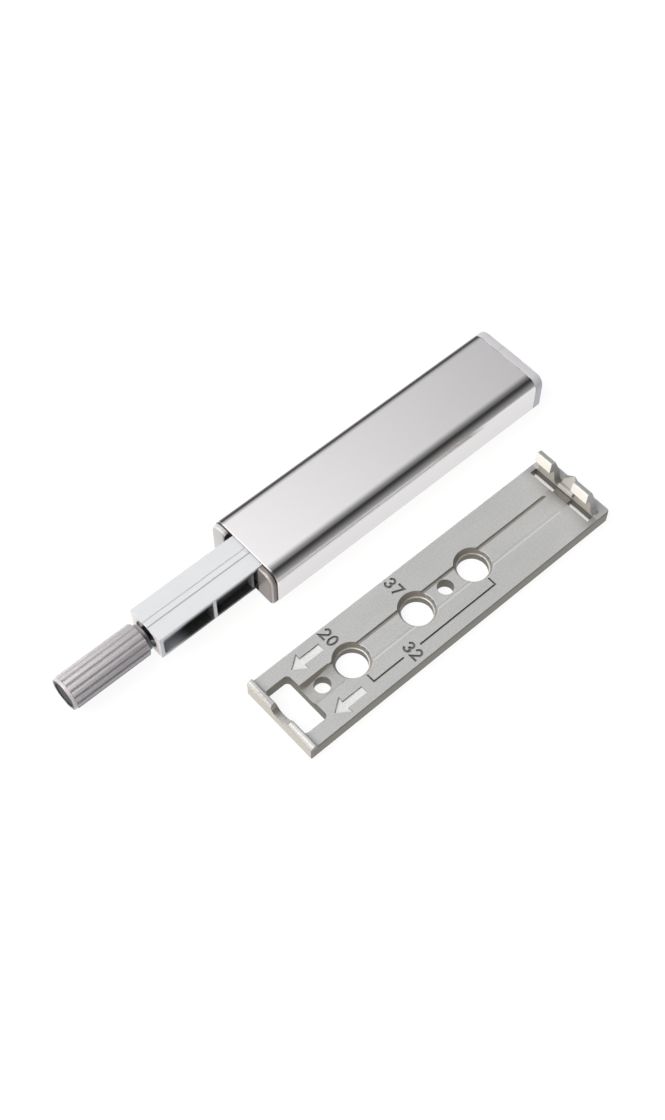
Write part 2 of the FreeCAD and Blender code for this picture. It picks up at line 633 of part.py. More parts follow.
def hook(side):
    """Snap hook at the plate's rear, with its barb towards the front."""
    middle = PLATE_CENTRE_Y + side * HOOK_OFFSET
    base = PLATE_THICKNESS / 2
    root = PLATE_THICKNESS
    top = PLATE_THICKNESS + HOOK_HEIGHT
    under = top - BARB_HEIGHT
    wide = HOOK_WIDTH / 2 + HOOK_FLARE
    barb = HOOK_FRONT + HOOK_LEAN + BARB_REACH
    ridge_rear = barb - BARB_DRAFT - RIDGE_LENGTH
    profile = [(HOOK_FRONT, base), (HOOK_FRONT, root), (HOOK_FRONT + HOOK_LEAN, under - BARB_UNDERCUT),
               (barb, under), (barb - BARB_DRAFT, top), (ridge_rear, top - RIDGE_DROP),
               (HOOK_FRONT - HOOK_WAIST_BACK, top - HOOK_WAIST), (HOOK_FRONT - HOOK_ROOT, root),
               (HOOK_FRONT - HOOK_ROOT, base)]
    stem = extrude([(x, middle - wide, z) for x, z in profile], (0, 2 * wide, 0))
    ridge = edges_along(stem, FreeCAD.Vector(0, 1, 0), lambda p: p.z > top - RIDGE_DROP - 1e-6)
    stem = stem.makeFillet(RIDGE_ROUND, ridge)
    outline = [(wide, base)]
    for step in range(FLARE_STEPS + 1):
        rise = step / FLARE_STEPS
        outline.append((HOOK_WIDTH / 2 + HOOK_FLARE * (1 - rise) ** 3, root + FLARE_HEIGHT * rise))
    outline += [(HOOK_WIDTH / 2, under), (HOOK_WIDTH / 2 - HOOK_TAPER, top)]
    around = outline + [(-y, z) for y, z in reversed(outline)]
    rear = HOOK_FRONT - HOOK_ROOT - 1
    front = extrude([(rear, middle + y, z) for y, z in around], (barb + 1 - rear, 0, 0))
    return stem.common(front)


def centre_tab():
    """Low tab between the hooks, stiffened by a gusset behind it."""
    half = TAB_WIDTH / 2
    low, high = PLATE_CENTRE_Y - half, PLATE_CENTRE_Y + half
    base = PLATE_THICKNESS / 2
    front = HOOK_FRONT
    tab = box(front - TAB_DEPTH, front, low, high, base, PLATE_THICKNESS + TAB_HEIGHT)
    rear = front - TAB_DEPTH - GUSSET_LENGTH
    rise = [(front - TAB_DEPTH, low, base), (front - TAB_DEPTH, low, PLATE_THICKNESS + TAB_HEIGHT / 2),
            (rear, low, PLATE_THICKNESS + GUSSET_HEIGHT), (rear, low, base)]
    roof = [(rear - 1, low - 1, PLATE_THICKNESS + GUSSET_HEIGHT / 4),
            (rear - 1, PLATE_CENTRE_Y, PLATE_THICKNESS + GUSSET_HEIGHT),
            (rear - 1, high + 1, PLATE_THICKNESS + GUSSET_HEIGHT / 4),
            (rear - 1, high + 1, 0), (rear - 1, low - 1, 0)]
    gusset = extrude(rise, (0, TAB_WIDTH, 0)).common(extrude(roof, (GUSSET_LENGTH + 2, 0, 0)))
    return tab.fuse(gusset)


def adapter_plate():
    """Plate that is screwed to the cabinet and holds the catch by lip and hooks."""
    plate = plate_blank()
    window_half = WINDOW_WIDTH / 2
    plate = plate.cut(rounded_slot(plate_x(LIP_DEPTH + WINDOW_LENGTH), plate_x(LIP_DEPTH),
                                   PLATE_CENTRE_Y - window_half, PLATE_CENTRE_Y + window_half,
                                   -1, PLATE_THICKNESS + 1, WINDOW_RADIUS))
    for hollow in plate_channel():
        plate = plate.cut(hollow)
    plate = plate.cut(box(HOOK_FRONT, HOOK_FRONT + SLOT_LENGTH, PLATE_CENTRE_Y - HOOK_OFFSET,
                          PLATE_CENTRE_Y + HOOK_OFFSET, PLATE_THICKNESS - TRENCH_DEPTH, PLATE_THICKNESS + 1))
    plate = plate.fuse(centre_tab())
    for side in (1, -1):
        middle = PLATE_CENTRE_Y + side * HOOK_OFFSET
        plate = plate.cut(box(HOOK_FRONT, HOOK_FRONT + SLOT_LENGTH, middle - SLOT_WIDTH / 2,
                              middle + SLOT_WIDTH / 2, -1, PLATE_THICKNESS + 1))
        reach = SLOT_WIDTH / 2 + RELIEF_REACH
        plate = plate.cut(box(HOOK_FRONT - RELIEF_REACH, HOOK_FRONT + SLOT_LENGTH + RELIEF_REACH,
                              middle - reach, middle + reach, -1, RELIEF_DEPTH))
        plate = plate.fuse(hook(side))
    for back in (HOLE_FRONT, HOLE_FRONT + MIDDLE_HOLE_BACK, HOLE_FRONT + HOLE_SPACING):
        plate = plate.cut(screw_hole(back))
    for back in (HOLE_FRONT - PIN_HOLE_LEAD, HOLE_FRONT - PIN_HOLE_LEAD + HOLE_SPACING):
        plate = plate.cut(rod_z(plate_x(back), PLATE_CENTRE_Y, -1, PLATE_THICKNESS + 1, PIN_HOLE_RADIUS))
    return plate.removeSplitter()


PIECES = {
    "sleeve": sleeve,
    "chassis": chassis,
    "rear_cap": rear_cap,
    "slider": slider,
    "knob": knob,
    "spindle": spindle,
    "magnet_cup": magnet_cup,
    "magnet": magnet,
    "main_spring": main_spring,
    "spring_rod": spring_rod,
    "rear_buffer": rear_buffer,
    "latch_wire": latch_wire,
    "adapter_plate": adapter_plate,
}


def main():
    os.makedirs("parts", exist_ok=True)
    for name, make in PIECES.items():
        shape = make()
        if not shape.isValid() or len(shape.Solids) != 1:
            raise ValueError(f"{name}: {len(shape.Solids)} solids, valid {shape.isValid()}")
        shape.Solids[0].exportStep(f"parts/{name}.step")
        print(f"{name}: {shape.Volume:.2f} mm3")


main()
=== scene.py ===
"""Looks of a slim push to open catch and its clip-on adapter plate.

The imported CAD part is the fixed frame. Each operator below dresses one piece, or a
group of like pieces, and one lays the stage. Lengths are written in millimetres and
scaled by MM, and angles in degrees go through math.radians.
"""

import json
import math

import bmesh
import bpy
from bpy.props import (
    BoolProperty,
    FloatProperty,
    FloatVectorProperty,
    IntProperty,
    PointerProperty,
)
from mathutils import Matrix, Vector


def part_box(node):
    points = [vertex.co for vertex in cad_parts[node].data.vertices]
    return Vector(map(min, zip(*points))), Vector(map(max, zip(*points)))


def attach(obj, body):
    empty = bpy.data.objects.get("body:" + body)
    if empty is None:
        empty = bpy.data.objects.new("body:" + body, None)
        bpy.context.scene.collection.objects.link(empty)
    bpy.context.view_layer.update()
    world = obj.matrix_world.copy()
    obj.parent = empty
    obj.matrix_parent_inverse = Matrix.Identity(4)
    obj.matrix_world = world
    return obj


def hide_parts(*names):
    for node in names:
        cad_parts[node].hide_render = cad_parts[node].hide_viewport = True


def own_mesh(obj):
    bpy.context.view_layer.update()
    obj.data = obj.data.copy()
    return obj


bl_info = {
    "name": "Push to open catch",
    "version": (1, 0, 0),
    "blender": (4, 5, 0),
    "location": "3D View > Sidebar > Catch",
    "description": "Dresses the packed push to open catch and lays its stage",
    "category": "Object",
}

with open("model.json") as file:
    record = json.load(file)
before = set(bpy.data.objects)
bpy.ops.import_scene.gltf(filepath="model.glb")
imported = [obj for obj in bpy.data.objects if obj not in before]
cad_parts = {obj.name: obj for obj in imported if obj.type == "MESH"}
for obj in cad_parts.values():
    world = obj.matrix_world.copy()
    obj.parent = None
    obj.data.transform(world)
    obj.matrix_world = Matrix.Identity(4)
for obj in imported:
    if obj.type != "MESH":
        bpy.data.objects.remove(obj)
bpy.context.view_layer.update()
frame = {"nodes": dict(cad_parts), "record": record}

MM = 0.001


def node_box(name):
    """Lowest and highest corner of a CAD node, in millimetres."""
    low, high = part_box(name)
    return low / MM, high / MM


SLEEVE_REAR = node_box("sleeve")[0].x
SLIDER_HIGH = node_box("slider")[1]
KNOB_LOW, KNOB_HIGH = node_box("knob")
SPINDLE_LOW, SPINDLE_HIGH = node_box("spindle")
SPRING_LOW, SPRING_HIGH = node_box("main_spring")
LATCH_LOW, LATCH_HIGH = node_box("latch_wire")
PLATE_LOW, PLATE_HIGH = node_box("adapter_plate")

# The plunger's axis, the slider's webs, and the post in each of its rear bays
AXIS_Z = (KNOB_LOW.z + KNOB_HIGH.z) / 2
WEB_X = 11.7
WEB_PITCH = 11.2
POST_MIDDLE = Vector((2.2, 3.45, AXIS_Z - 0.17))
POST_SIZE = Vector((0.5, 1.9, 4.8))

# The plate's face, screw holes, hooks, and the line of its arrows and bracket
PLATE_TOP = 3.1
PLATE_MIDDLE_Y = (PLATE_LOW.y + PLATE_HIGH.y) / 2
FRONT_HOLE_X = PLATE_HIGH.x - 18.4
MIDDLE_HOLE_X = FRONT_HOLE_X - 17.0
REAR_HOLE_X = FRONT_HOLE_X - 32.0
SEAT_RADIUS = 3.27
HOOK_X = PLATE_LOW.x + 3.7
MARK_LINE = 6.1

# Edges that meet at more than this are rounded
SHARP_EDGE = math.radians(50)

# Tints of places that differ from their piece's own colour; most are painted light,
# painted highlights, painted reflections or painted shade
EDGE_GLINT = (1.0, 1.0, 0.99)
NOSE_LIGHT = (0.82, 0.73, 0.71)
FAR_EAR_SHEEN = (0.52, 0.53, 0.55)
EAR_RIM_HIGHLIGHT = (0.7, 0.67, 0.68)
TIP_RIM = (0.72, 0.66, 0.67)
TIP_END = (0.09, 0.085, 0.09)
TIP_SHADOW = (0.03, 0.032, 0.035)
ZINC_FRONT_LIGHT = (0.49, 0.456, 0.382)
ZINC_BARB_HIGHLIGHT = (0.95, 0.93, 0.87)
ZINC_LEDGE_HIGHLIGHT = (0.95, 0.95, 0.94)
ZINC_FAR_LIGHT = (0.85, 0.85, 0.83)
ZINC_SHADOW = (0.077, 0.066, 0.046)
ZINC_SIDE_SHADE = (0.21, 0.185, 0.135)
ZINC_GUSSET_SHADE = (0.08, 0.08, 0.08)
SEAT_GLINT = (0.85, 0.84, 0.8)
SLOT_FOOT_LIGHT = (1.0, 1.0, 1.0)


# Sizes, colours and light that a user may change

def length_property(name, about, default, least=0.0):
    """A length, its default and least value given in millimetres."""
    return FloatProperty(name=name, description=about, default=default * MM,
                         min=least * MM, unit="LENGTH", precision=5)


def colour_property(name, about, default):
    """A colour, in linear values."""
    return FloatVectorProperty(name=name, description=about, default=default,
                               subtype="COLOR", min=0, max=1)


def angle_property(name, about, default):
    """An angle, its default given in degrees."""
    return FloatProperty(name=name, description=about,
                         default=math.radians(default), subtype="ANGLE")


def strength_property(name, about, default):
    """The strength of a light."""
    return FloatProperty(name=name, description=about, default=default, min=0)


class CatchSizes(bpy.types.PropertyGroup):
    """Small sizes that the dressed pieces add to the CAD part."""

    edge_round: length_property(
        "Moulded edge", "Rounding of the plastic edges", 0.10)
    cast_round: length_property(
        "Cast edge", "Rounding of the die-cast edges", 0.09)
    sheet_round: length_property(
        "Sheet edge", "Rounding of the deburred sheet edges", 0.06)
    thread_pitch: length_property(
        "Thread pitch", "Advance of the tip for one turn", 1.0, least=0.2)
    thread_depth: length_property(
        "Thread depth", "From crest to root of the thread", 0.3)
    coil_wire: length_property(
        "Spring wire", "Diameter of the spring's wire", 0.6, least=0.1)
    coil_turns: IntProperty(
        name="Spring turns", description="Turns of the spring, closed ends included",
        default=16, min=6, max=40)
    latch_bend: length_property(
        "Latch bend", "Radius of the latch wire's bends at its middle line", 0.7)
    mark_depth: length_property(
        "Mark depth", "Depth of the marks in the plate's face", 0.34)
    mark_width: length_property(
        "Mark width", "Width of the engraved lines", 0.48, least=0.05)
    knob_ribs: IntProperty(
        name="Tip ribs", description="Ribs round the tip's barrel",
        default=16, min=4, max=60)
    rib_depth: length_property(
        "Rib depth", "Depth of the grooves between the tip's ribs", 0.32)
    number_height: length_property(
        "Number height", "Height of the drilling numbers", 2.6, least=0.5)


class CatchColours(bpy.types.PropertyGroup):
    """Base colours of the finishes."""

    steel: colour_property(
        "Sleeve steel", "Satin stainless sheet", (0.785, 0.768, 0.772))
    slider: colour_property(
        "Slider", "Pale cool plastic of the plunger", (0.635, 0.655, 0.70))
    # The core colour also stands for painted shade in the slider's pockets and nose
    # hollow
    slider_core_and_shade: colour_property(
        "Slider core", "Dark core between the slider's webs", (0.046, 0.051, 0.050))
    housing: colour_property(
        "Chassis", "Mauve-grey plastic of the chassis", (0.19, 0.165, 0.16))
    knob: colour_property(
        "Tip barrel", "Lilac-grey plastic of the ribbed tip", (0.51, 0.495, 0.53))
    cap: colour_property(
        "Rear cap", "Pale bluish plastic of the rear cap", (0.525, 0.525, 0.57))
    zinc: colour_property(
        "Zinc", "Grainy die-cast zinc of the adapter plate", (0.46, 0.467, 0.48))
    spring_steel: colour_property(
        "Spring steel", "Bright drawn wire and turned parts", (0.60, 0.595, 0.58))
    cup: colour_property(
        "Magnet cup", "Dark plated cup round the magnet", (0.016, 0.017, 0.02))
    magnet: colour_property(
        "Magnet", "Slate-grey face of the magnet", (0.032, 0.036, 0.048))
    rubber: colour_property(
        "Buffer", "Black rubber of the end buffer", (0.018, 0.018, 0.02))


class StageLook(bpy.types.PropertyGroup):
    """Floor, light and camera."""

    floor_colour: colour_property(
        "Floor", "Colour of the plain floor", (0.12, 0.12, 0.12))
    floor_glow: strength_property(
        "Floor glow", "Own light of the pale floor", 0.9)
    bank: strength_property(
        "Light bank", "Brightness of the bank beyond the long side", 0.98)
    bank_tilt: strength_property(
        "Bank tilt", "How fast the bank brightens towards the tip", 2.1)
    flag: strength_property(
        "Overhead flag", "Brightness of the dark side overhead", 0.07)
    fill: strength_property(
        "Side fill", "Brightness low on the plate's side", 0.47)
    key: strength_property(
        "Key light", "Brightness of the warm lamp before the tip", 5.2)
    key_colour: colour_property(
        "Key colour", "Tint of the warm lamp", (1.0, 0.96, 0.89))
    key_height: angle_property(
        "Key height", "Angle of the warm lamp above the floor", 50)
    azimuth: angle_property(
        "Camera azimuth", "0 looks along +Y, 90 along -X", 138.27)
    elevation: angle_property(
        "Camera elevation", "Above the horizon", 58.0)
    distance: length_property(
        "Camera distance", "From the aim point", 318.97)
    lens: FloatProperty(
        name="Lens", description="Focal length in millimetres, 36 mm sensor",
        default=51.57, min=10)
    show_floor: BoolProperty(
        name="Show floor", description="Lay the plain floor", default=True)


# Shader maths

class Signal:
    """One socket of a node tree; arithmetic on it adds Math nodes."""

    def __init__(self, look, socket):
        self.look = look
        self.socket = socket

    def math(self, operation, *others):
        """A Math node with this signal as its first value."""
        values = {0: self.socket}
        for place, other in enumerate(others, start=1):
            values[place] = other.socket if isinstance(other, Signal) else other
        node = self.look.node("ShaderNodeMath", {"operation": operation}, values)
        return Signal(self.look, node.outputs[0])

    def reflected(self, operation, first):
        """A Math node with this signal as its second value."""
        node = self.look.node(
            "ShaderNodeMath", {"operation": operation}, {0: first, 1: self.socket})
        return Signal(self.look, node.outputs[0])

    def __add__(self, other):
        return self.math("ADD", other)

    def __radd__(self, other):
        return self.reflected("ADD", other)

    def __sub__(self, other):
        return self.math("SUBTRACT", other)

    def __rsub__(self, other):
        return self.reflected("SUBTRACT", other)

    def __mul__(self, other):
        return self.math("MULTIPLY", other)

    def __rmul__(self, other):
        return self.reflected("MULTIPLY", other)

    def __truediv__(self, other):
        return self.math("DIVIDE", other)

    def __gt__(self, other):
        return self.math("GREATER_THAN", other)

    def __lt__(self, other):
        return self.math("LESS_THAN", other)

    def __abs__(self):
        return self.math("ABSOLUTE")


class Look:
    """The node tree of one finish, with its material, or of the world."""

    def __init__(self, tree, material=None):
        self.tree = tree
        self.material = material
        tree.nodes.clear()

    def node(self, kind, settings=None, sockets=None):
        """Adds a node: its settings first, then its sockets' values or links."""
        node = self.tree.nodes.new(kind)
        for name, value in (settings or {}).items():
            setattr(node, name, value)
        for key, value in (sockets or {}).items():
            socket = self.find(node.inputs, key)
            if isinstance(value, Signal):
                value = value.socket
            if isinstance(value, bpy.types.NodeSocket):
                self.tree.links.new(value, socket)
            else:
                socket.default_value = value
        return node

    def find(self, sockets, key):
        """A socket by its number, identifier or name."""
        if isinstance(key, int):
            return sockets[key]
        for socket in sockets:
            if socket.identifier == key:
                return socket
        return sockets[key]

    def out(self, node, key=0):
        return Signal(self, self.find(node.outputs, key))

    def coordinate(self, kind):
        """One of the texture coordinates: Object, Normal or Generated."""
        return self.find(self.node("ShaderNodeTexCoord").outputs, kind)

    def axes(self, vector):
        """X, Y and Z of a vector."""
        parts = self.node("ShaderNodeSeparateXYZ", None, {0: vector})
        return [self.out(parts, axis) for axis in "XYZ"]

    def place(self):
        """X, Y and Z on the piece, in millimetres."""
        in_mm = self.node("ShaderNodeVectorMath", {"operation": "SCALE"},
                          {0: self.coordinate("Object"), "Scale": 1 / MM})
        return self.axes(in_mm.outputs[0])

    def facing(self):
        """X, Y and Z of the surface's normal on the piece."""
        return self.axes(self.coordinate("Normal"))

    def noise(self, per_mm, detail=3.0, roughness=0.5, seed=0.0):
        """Noise with so many grains in a millimetre along X, Y and Z."""
        mapping = self.node("ShaderNodeMapping", None, {
            "Vector": self.coordinate("Object"),
            "Location": (seed, seed * 0.7, seed * 1.3),
            "Scale": tuple(n / MM for n in per_mm)})
        noise = self.node("ShaderNodeTexNoise", {"noise_dimensions": "3D"}, {
            "Vector": mapping.outputs[0], "Scale": 1.0,
            "Detail": detail, "Roughness": roughness})
        return self.out(noise, 0)

    def between(self, signal, low, high):
        """0 below low, 1 above high, smooth in between."""
        node = self.node(
            "ShaderNodeMapRange",
            {"interpolation_type": "SMOOTHSTEP", "clamp": True},
            {"Value": signal, "From Min": low, "From Max": high,
             "To Min": 0.0, "To Max": 1.0})
        return self.out(node, 0)

    def within(self, signal, low, high):
        """1 below low, 0 above high, smooth in between."""
        return 1 - self.between(signal, low, high)

    def mix(self, factor, first, second):
        """Blends two colours, each a tuple or a signal."""
        first, second = (value if isinstance(value, Signal) else (*value, 1)
                         for value in (first, second))
        node = self.node(
            "ShaderNodeMix", {"data_type": "RGBA", "clamp_factor": True},
            {"Factor_Float": factor, "A_Color": first, "B_Color": second})
        return self.out(node, "Result_Color")

    def tones(self, signal, colour, low, high):
        """A colour that runs from low to high times its strength along a signal."""
        return self.mix(signal, scaled(colour, low), scaled(colour, high))

    def paint(self, tone, *coats):
        """Lays coats over a tone, each with its mask, strength and colour."""
        for mask, strength, colour in coats:
            tone = self.mix(mask * strength, tone, colour)
        return tone

    def bump(self, height, strength, distance):
        """Bumps of a height signal; the distance is in millimetres."""
        node = self.node("ShaderNodeBump", None, {
            "Height": height, "Strength": strength, "Distance": distance * MM})
        return self.out(node, "Normal")


def scaled(colour, by):
    """A colour with its strength multiplied."""
    return tuple(min(1.0, channel * by) for channel in colour)


def most(first, *others):
    """The largest of several signals."""
    for other in others:
        first = first.math("MAXIMUM", other)
    return first


def off_axis(y, z):
    """How far a place lies from the plunger's axis."""
    return (y * y + (z - AXIS_Z) * (z - AXIS_Z)).math("SQRT")


def blank(name):
    """The empty look of a new material."""
    material = bpy.data.materials.new(name)
    material.use_nodes = True
    return Look(material.node_tree, material)


def finish(look, colour, roughness, bump=None, metallic=0.0, coat=0.0,
           specular=0.5, glow=0.0):
    """Ends a finish with its surface shader and output."""
    values = {"Base Color": colour, "Roughness": roughness, "Metallic": metallic,
              "Coat Weight": coat, "Coat Roughness": 0.25,
              "Specular IOR Level": specular,
              "Emission Color": (1, 1, 1, 1), "Emission Strength": glow}
    if bump is not None:
        values["Normal"] = bump
    if not isinstance(colour, Signal):
        values["Base Color"] = (*colour, 1)
    shader = look.node("ShaderNodeBsdfPrincipled", None, values)
    look.node("ShaderNodeOutputMaterial", None, {"Surface": shader.outputs[0]})
    return look.material


# Finishes, each with the light and shade that is painted by place on its piece

def satin_stainless(colour):
    """Sheet with a lengthwise grain, painted dark reflections along its long corners, a
    painted highlight on its front edge, and painted shade on its cut face and near side.
    """
    look = blank("satin_stainless")
    x, y, z = look.place()
    grain = look.noise((0.02, 4.0, 4.0), detail=4, roughness=0.6)
    cloud = look.noise((0.05, 0.12, 0.12), detail=2, seed=3)
    above_feet = z > 6.0
    # Painted dark reflections along the far and near top corners
    far_corner_reflection = look.between(-1 * y, 7.45, 8.1) * look.between(z, 6.9, 7.6)
    near_corner_reflection = look.between(y, 5.5, 7.1) * look.within(y, 7.35, 8.35) * (
        look.between(z, 6.9, 7.8))
    # Painted highlight on the front edge of the top
    cut_edge = look.between(x, -0.42, -0.28) * above_feet
    # Painted shade on the front cut face, standing for the sleeve's shadow on the slider
    cut_face_shade = look.between(look.facing()[0], 0.6, 0.9) * (x > -0.1) * above_feet
    tone = look.paint(
        look.tones(grain * 0.5 + cloud * 0.5, colour, 0.965, 1.03),
        (far_corner_reflection, 0.9, scaled(colour, 0.04)),
        (near_corner_reflection, 0.76, scaled(colour, 0.02)),
        (cut_edge, 0.5, EDGE_GLINT),
        (cut_face_shade, 0.8, scaled(colour, 0.1)),
        # Painted shade on the near side face
        (y > 9.2, 0.08, scaled(colour, 0.3)))
    rough = 0.2 + grain * 0.07 + cloud * 0.03
    return finish(look, tone, rough, look.bump(grain, 0.05, 0.02), metallic=1.0)


def slider_plastic(colour, core):
    """Pale moulding, dark between its webs: a dark core colour that also stands for
    painted shade under the top slab and in the nose hollow, painted shade along two fine
    lines on its top, and painted light on its nose face.
    """
    look = blank("slider_plastic")
    x, y, z = look.place()
    top, nose = SLIDER_HIGH.z, SLIDER_HIGH.x
    grain = look.noise((3.0, 3.0, 3.0), detail=3)
    cloud = look.noise((0.15, 0.3, 0.3), detail=2, seed=5)
    # The core colour is laid as painted shade: darkest deep under the top slab and back
    # from the nose, lighter beside the webs
    below_top = look.between(top - 0.12 - z, 0.0, 0.75) * (1 - (z > top - 0.14))
    behind_nose = 0.25 * look.between(nose - 0.85 - x, 0.0, 0.06) + (
        0.75 * look.between(nose - 2.6 - x, 0.0, 5.0))
    phase = ((x - WEB_X) / WEB_PITCH + 10.5).math("FRACT")
    from_web = abs(phase - 0.5) * WEB_PITCH
    ahead_of_webs = x > WEB_X + 5
    off_web = most(look.between(from_web, 0.26, 0.5), ahead_of_webs)
    # Painted shadow in the nose hollow, strongest on its near side
    recess_shadow = (x > nose - 0.56) * (off_axis(y, z) < 2.97) * (
        0.15 + 0.65 * look.between(y, 0.8, 2.2))
    on_top = z > top - 0.2
    # Painted shade of two fine lines along the top, stronger on the near one
    near_line_shade, far_line_shade = (look.within(abs(y - line_y), 0.10, 0.26) * on_top
                           for line_y in (0.72, -0.72))
    # Painted light on the nose's front face, which turns to the lamp
    lit_nose_face = look.between(look.facing()[0], 0.6, 0.9) * (x > nose - 0.2)
    tone = look.paint(
        look.tones(cloud, colour, 0.97, 1.03),
        (near_line_shade * 0.75 + far_line_shade * 0.06, 1.0, scaled(colour, 0.4)),
        (lit_nose_face, 0.5, NOSE_LIGHT),
        (most(below_top * behind_nose * off_web, recess_shadow), 1.0, core))
    return finish(look, tone, 0.36 + grain * 0.08, look.bump(grain, 0.06, 0.01))


def post_plastic(colour):
    """Grey moulding of the slider's posts."""
    look = blank("post_plastic")
    grain = look.noise((3.5, 3.5, 3.5), detail=3, seed=15)
    cloud = look.noise((0.2, 0.25, 0.25), detail=2, seed=17)
    tone = look.tones(cloud, colour, 0.95, 1.05)
    return finish(look, tone, 0.34 + grain * 0.09, look.bump(grain, 0.08, 0.012))


def chassis_plastic(colour):
    """Mauve-grey moulding with a painted sheen on the far ear, a painted highlight on
    the ears' rims, and painted shade at the sleeve and round the slider.
    """
    look = blank("chassis_plastic")
    x, y, _ = look.place()
    forward = abs(look.facing()[0])
    grain = look.noise((3.5, 3.5, 3.5), detail=3, seed=1)
    cloud = look.noise((0.2, 0.25, 0.25), detail=2, seed=2)
    # Painted sheen that makes the far ear paler
    far_ear_sheen = look.between(-1 * y, 5.0, 6.0)
    # Painted highlight on the ears' rounded rims
    rim = look.between(x, 0.7, 1.0) * look.between(forward, 0.15, 0.4) * (
        look.within(forward, 0.8, 0.95))
    # Painted shade where the chassis meets the sleeve, and on all of it within 5 mm of
    # the middle, round the slider
    joint_shade = most(look.within(x, 0.16, 0.38), abs(y) < 5.01)
    tone = look.paint(
        look.tones(cloud, colour, 0.93, 1.07),
        (far_ear_sheen, 0.85, FAR_EAR_SHEEN),
        (rim, 0.5, EAR_RIM_HIGHLIGHT),
        (joint_shade, 0.9, scaled(colour, 0.08)))
    return finish(look, tone, 0.27 + grain * 0.08, look.bump(grain, 0.06, 0.012))


def tip_plastic(colour):
    """Ribbed barrel: a lengthwise flow of tone, a paler rim and a dark end face, with
    painted shade on its near side and between its ribs, and a painted shadow on its rear
    neck.
    """
    look = blank("tip_plastic")
    x, y, z = look.place()
    tip = KNOB_HIGH.x
    flow = look.noise((0.06, 1.2, 1.2), detail=3)
    grain = look.noise((3.0, 3.0, 3.0), detail=2, seed=4)
    across = off_axis(y, z)
    rim = look.between(x, tip - 0.75, tip - 0.6)
    end = look.between(look.facing()[0], 0.7, 0.95) * rim
    # Painted shade on the near side of the barrel
    low_side_shade = look.between(y, 1.2, 3.6)
    # Painted shade between the ribs, weaker on the near side
    groove_shade = look.within(across, 3.40, 3.62) * (x < tip - 0.68)
    # Painted shadow on the narrow neck at the rear, strongest on its near side
    collar_shadow = look.within(across, 2.95, 3.05) * (x < tip - 5)
    tone = look.paint(
        look.tones(flow, colour, 0.93, 1.07),
        (low_side_shade, 0.4, scaled(colour, 0.35)),
        (groove_shade, 0.38 - 0.12 * low_side_shade, scaled(colour, 0.25)),
        (rim, 0.42, TIP_RIM),
        (end, 0.85, TIP_END),
        (collar_shadow, 0.2 + 0.65 * look.between(y, 0.6, 2.0), TIP_SHADOW))
    return finish(look, tone, 0.24 + grain * 0.08, look.bump(grain, 0.05, 0.01),
                  coat=0.3)


def cap_plastic(colour):
    """Pale moulding with a thin parting line on top and a broken line of painted shade
    in the gap at the sleeve.
    """
    look = blank("cap_plastic")
    x, y, _ = look.place()
    grain = look.noise((3.5, 3.5, 3.5), detail=3, seed=8)
    cloud = look.noise((0.2, 0.25, 0.25), detail=2, seed=9)
    breaks = look.noise((0.3, 0.35, 0.35), detail=1, seed=6)
    seam = look.within(abs(y + 2.4), 0.06, 0.16)
    # Painted shade in the gap at the sleeve, broken by noise
    joint_shade = look.within(abs(x - SLEEVE_REAR), 0.05, 0.14) * (
        look.between(breaks, 0.42, 0.6))
    tone = look.paint(
        look.tones(cloud, colour, 0.96, 1.04),
        (most(seam * 0.35, joint_shade * 0.7), 1.0, scaled(colour, 0.4)))
    return finish(look, tone, 0.33 + grain * 0.09,
                  look.bump(grain * 0.4 - seam, 0.12, 0.02))


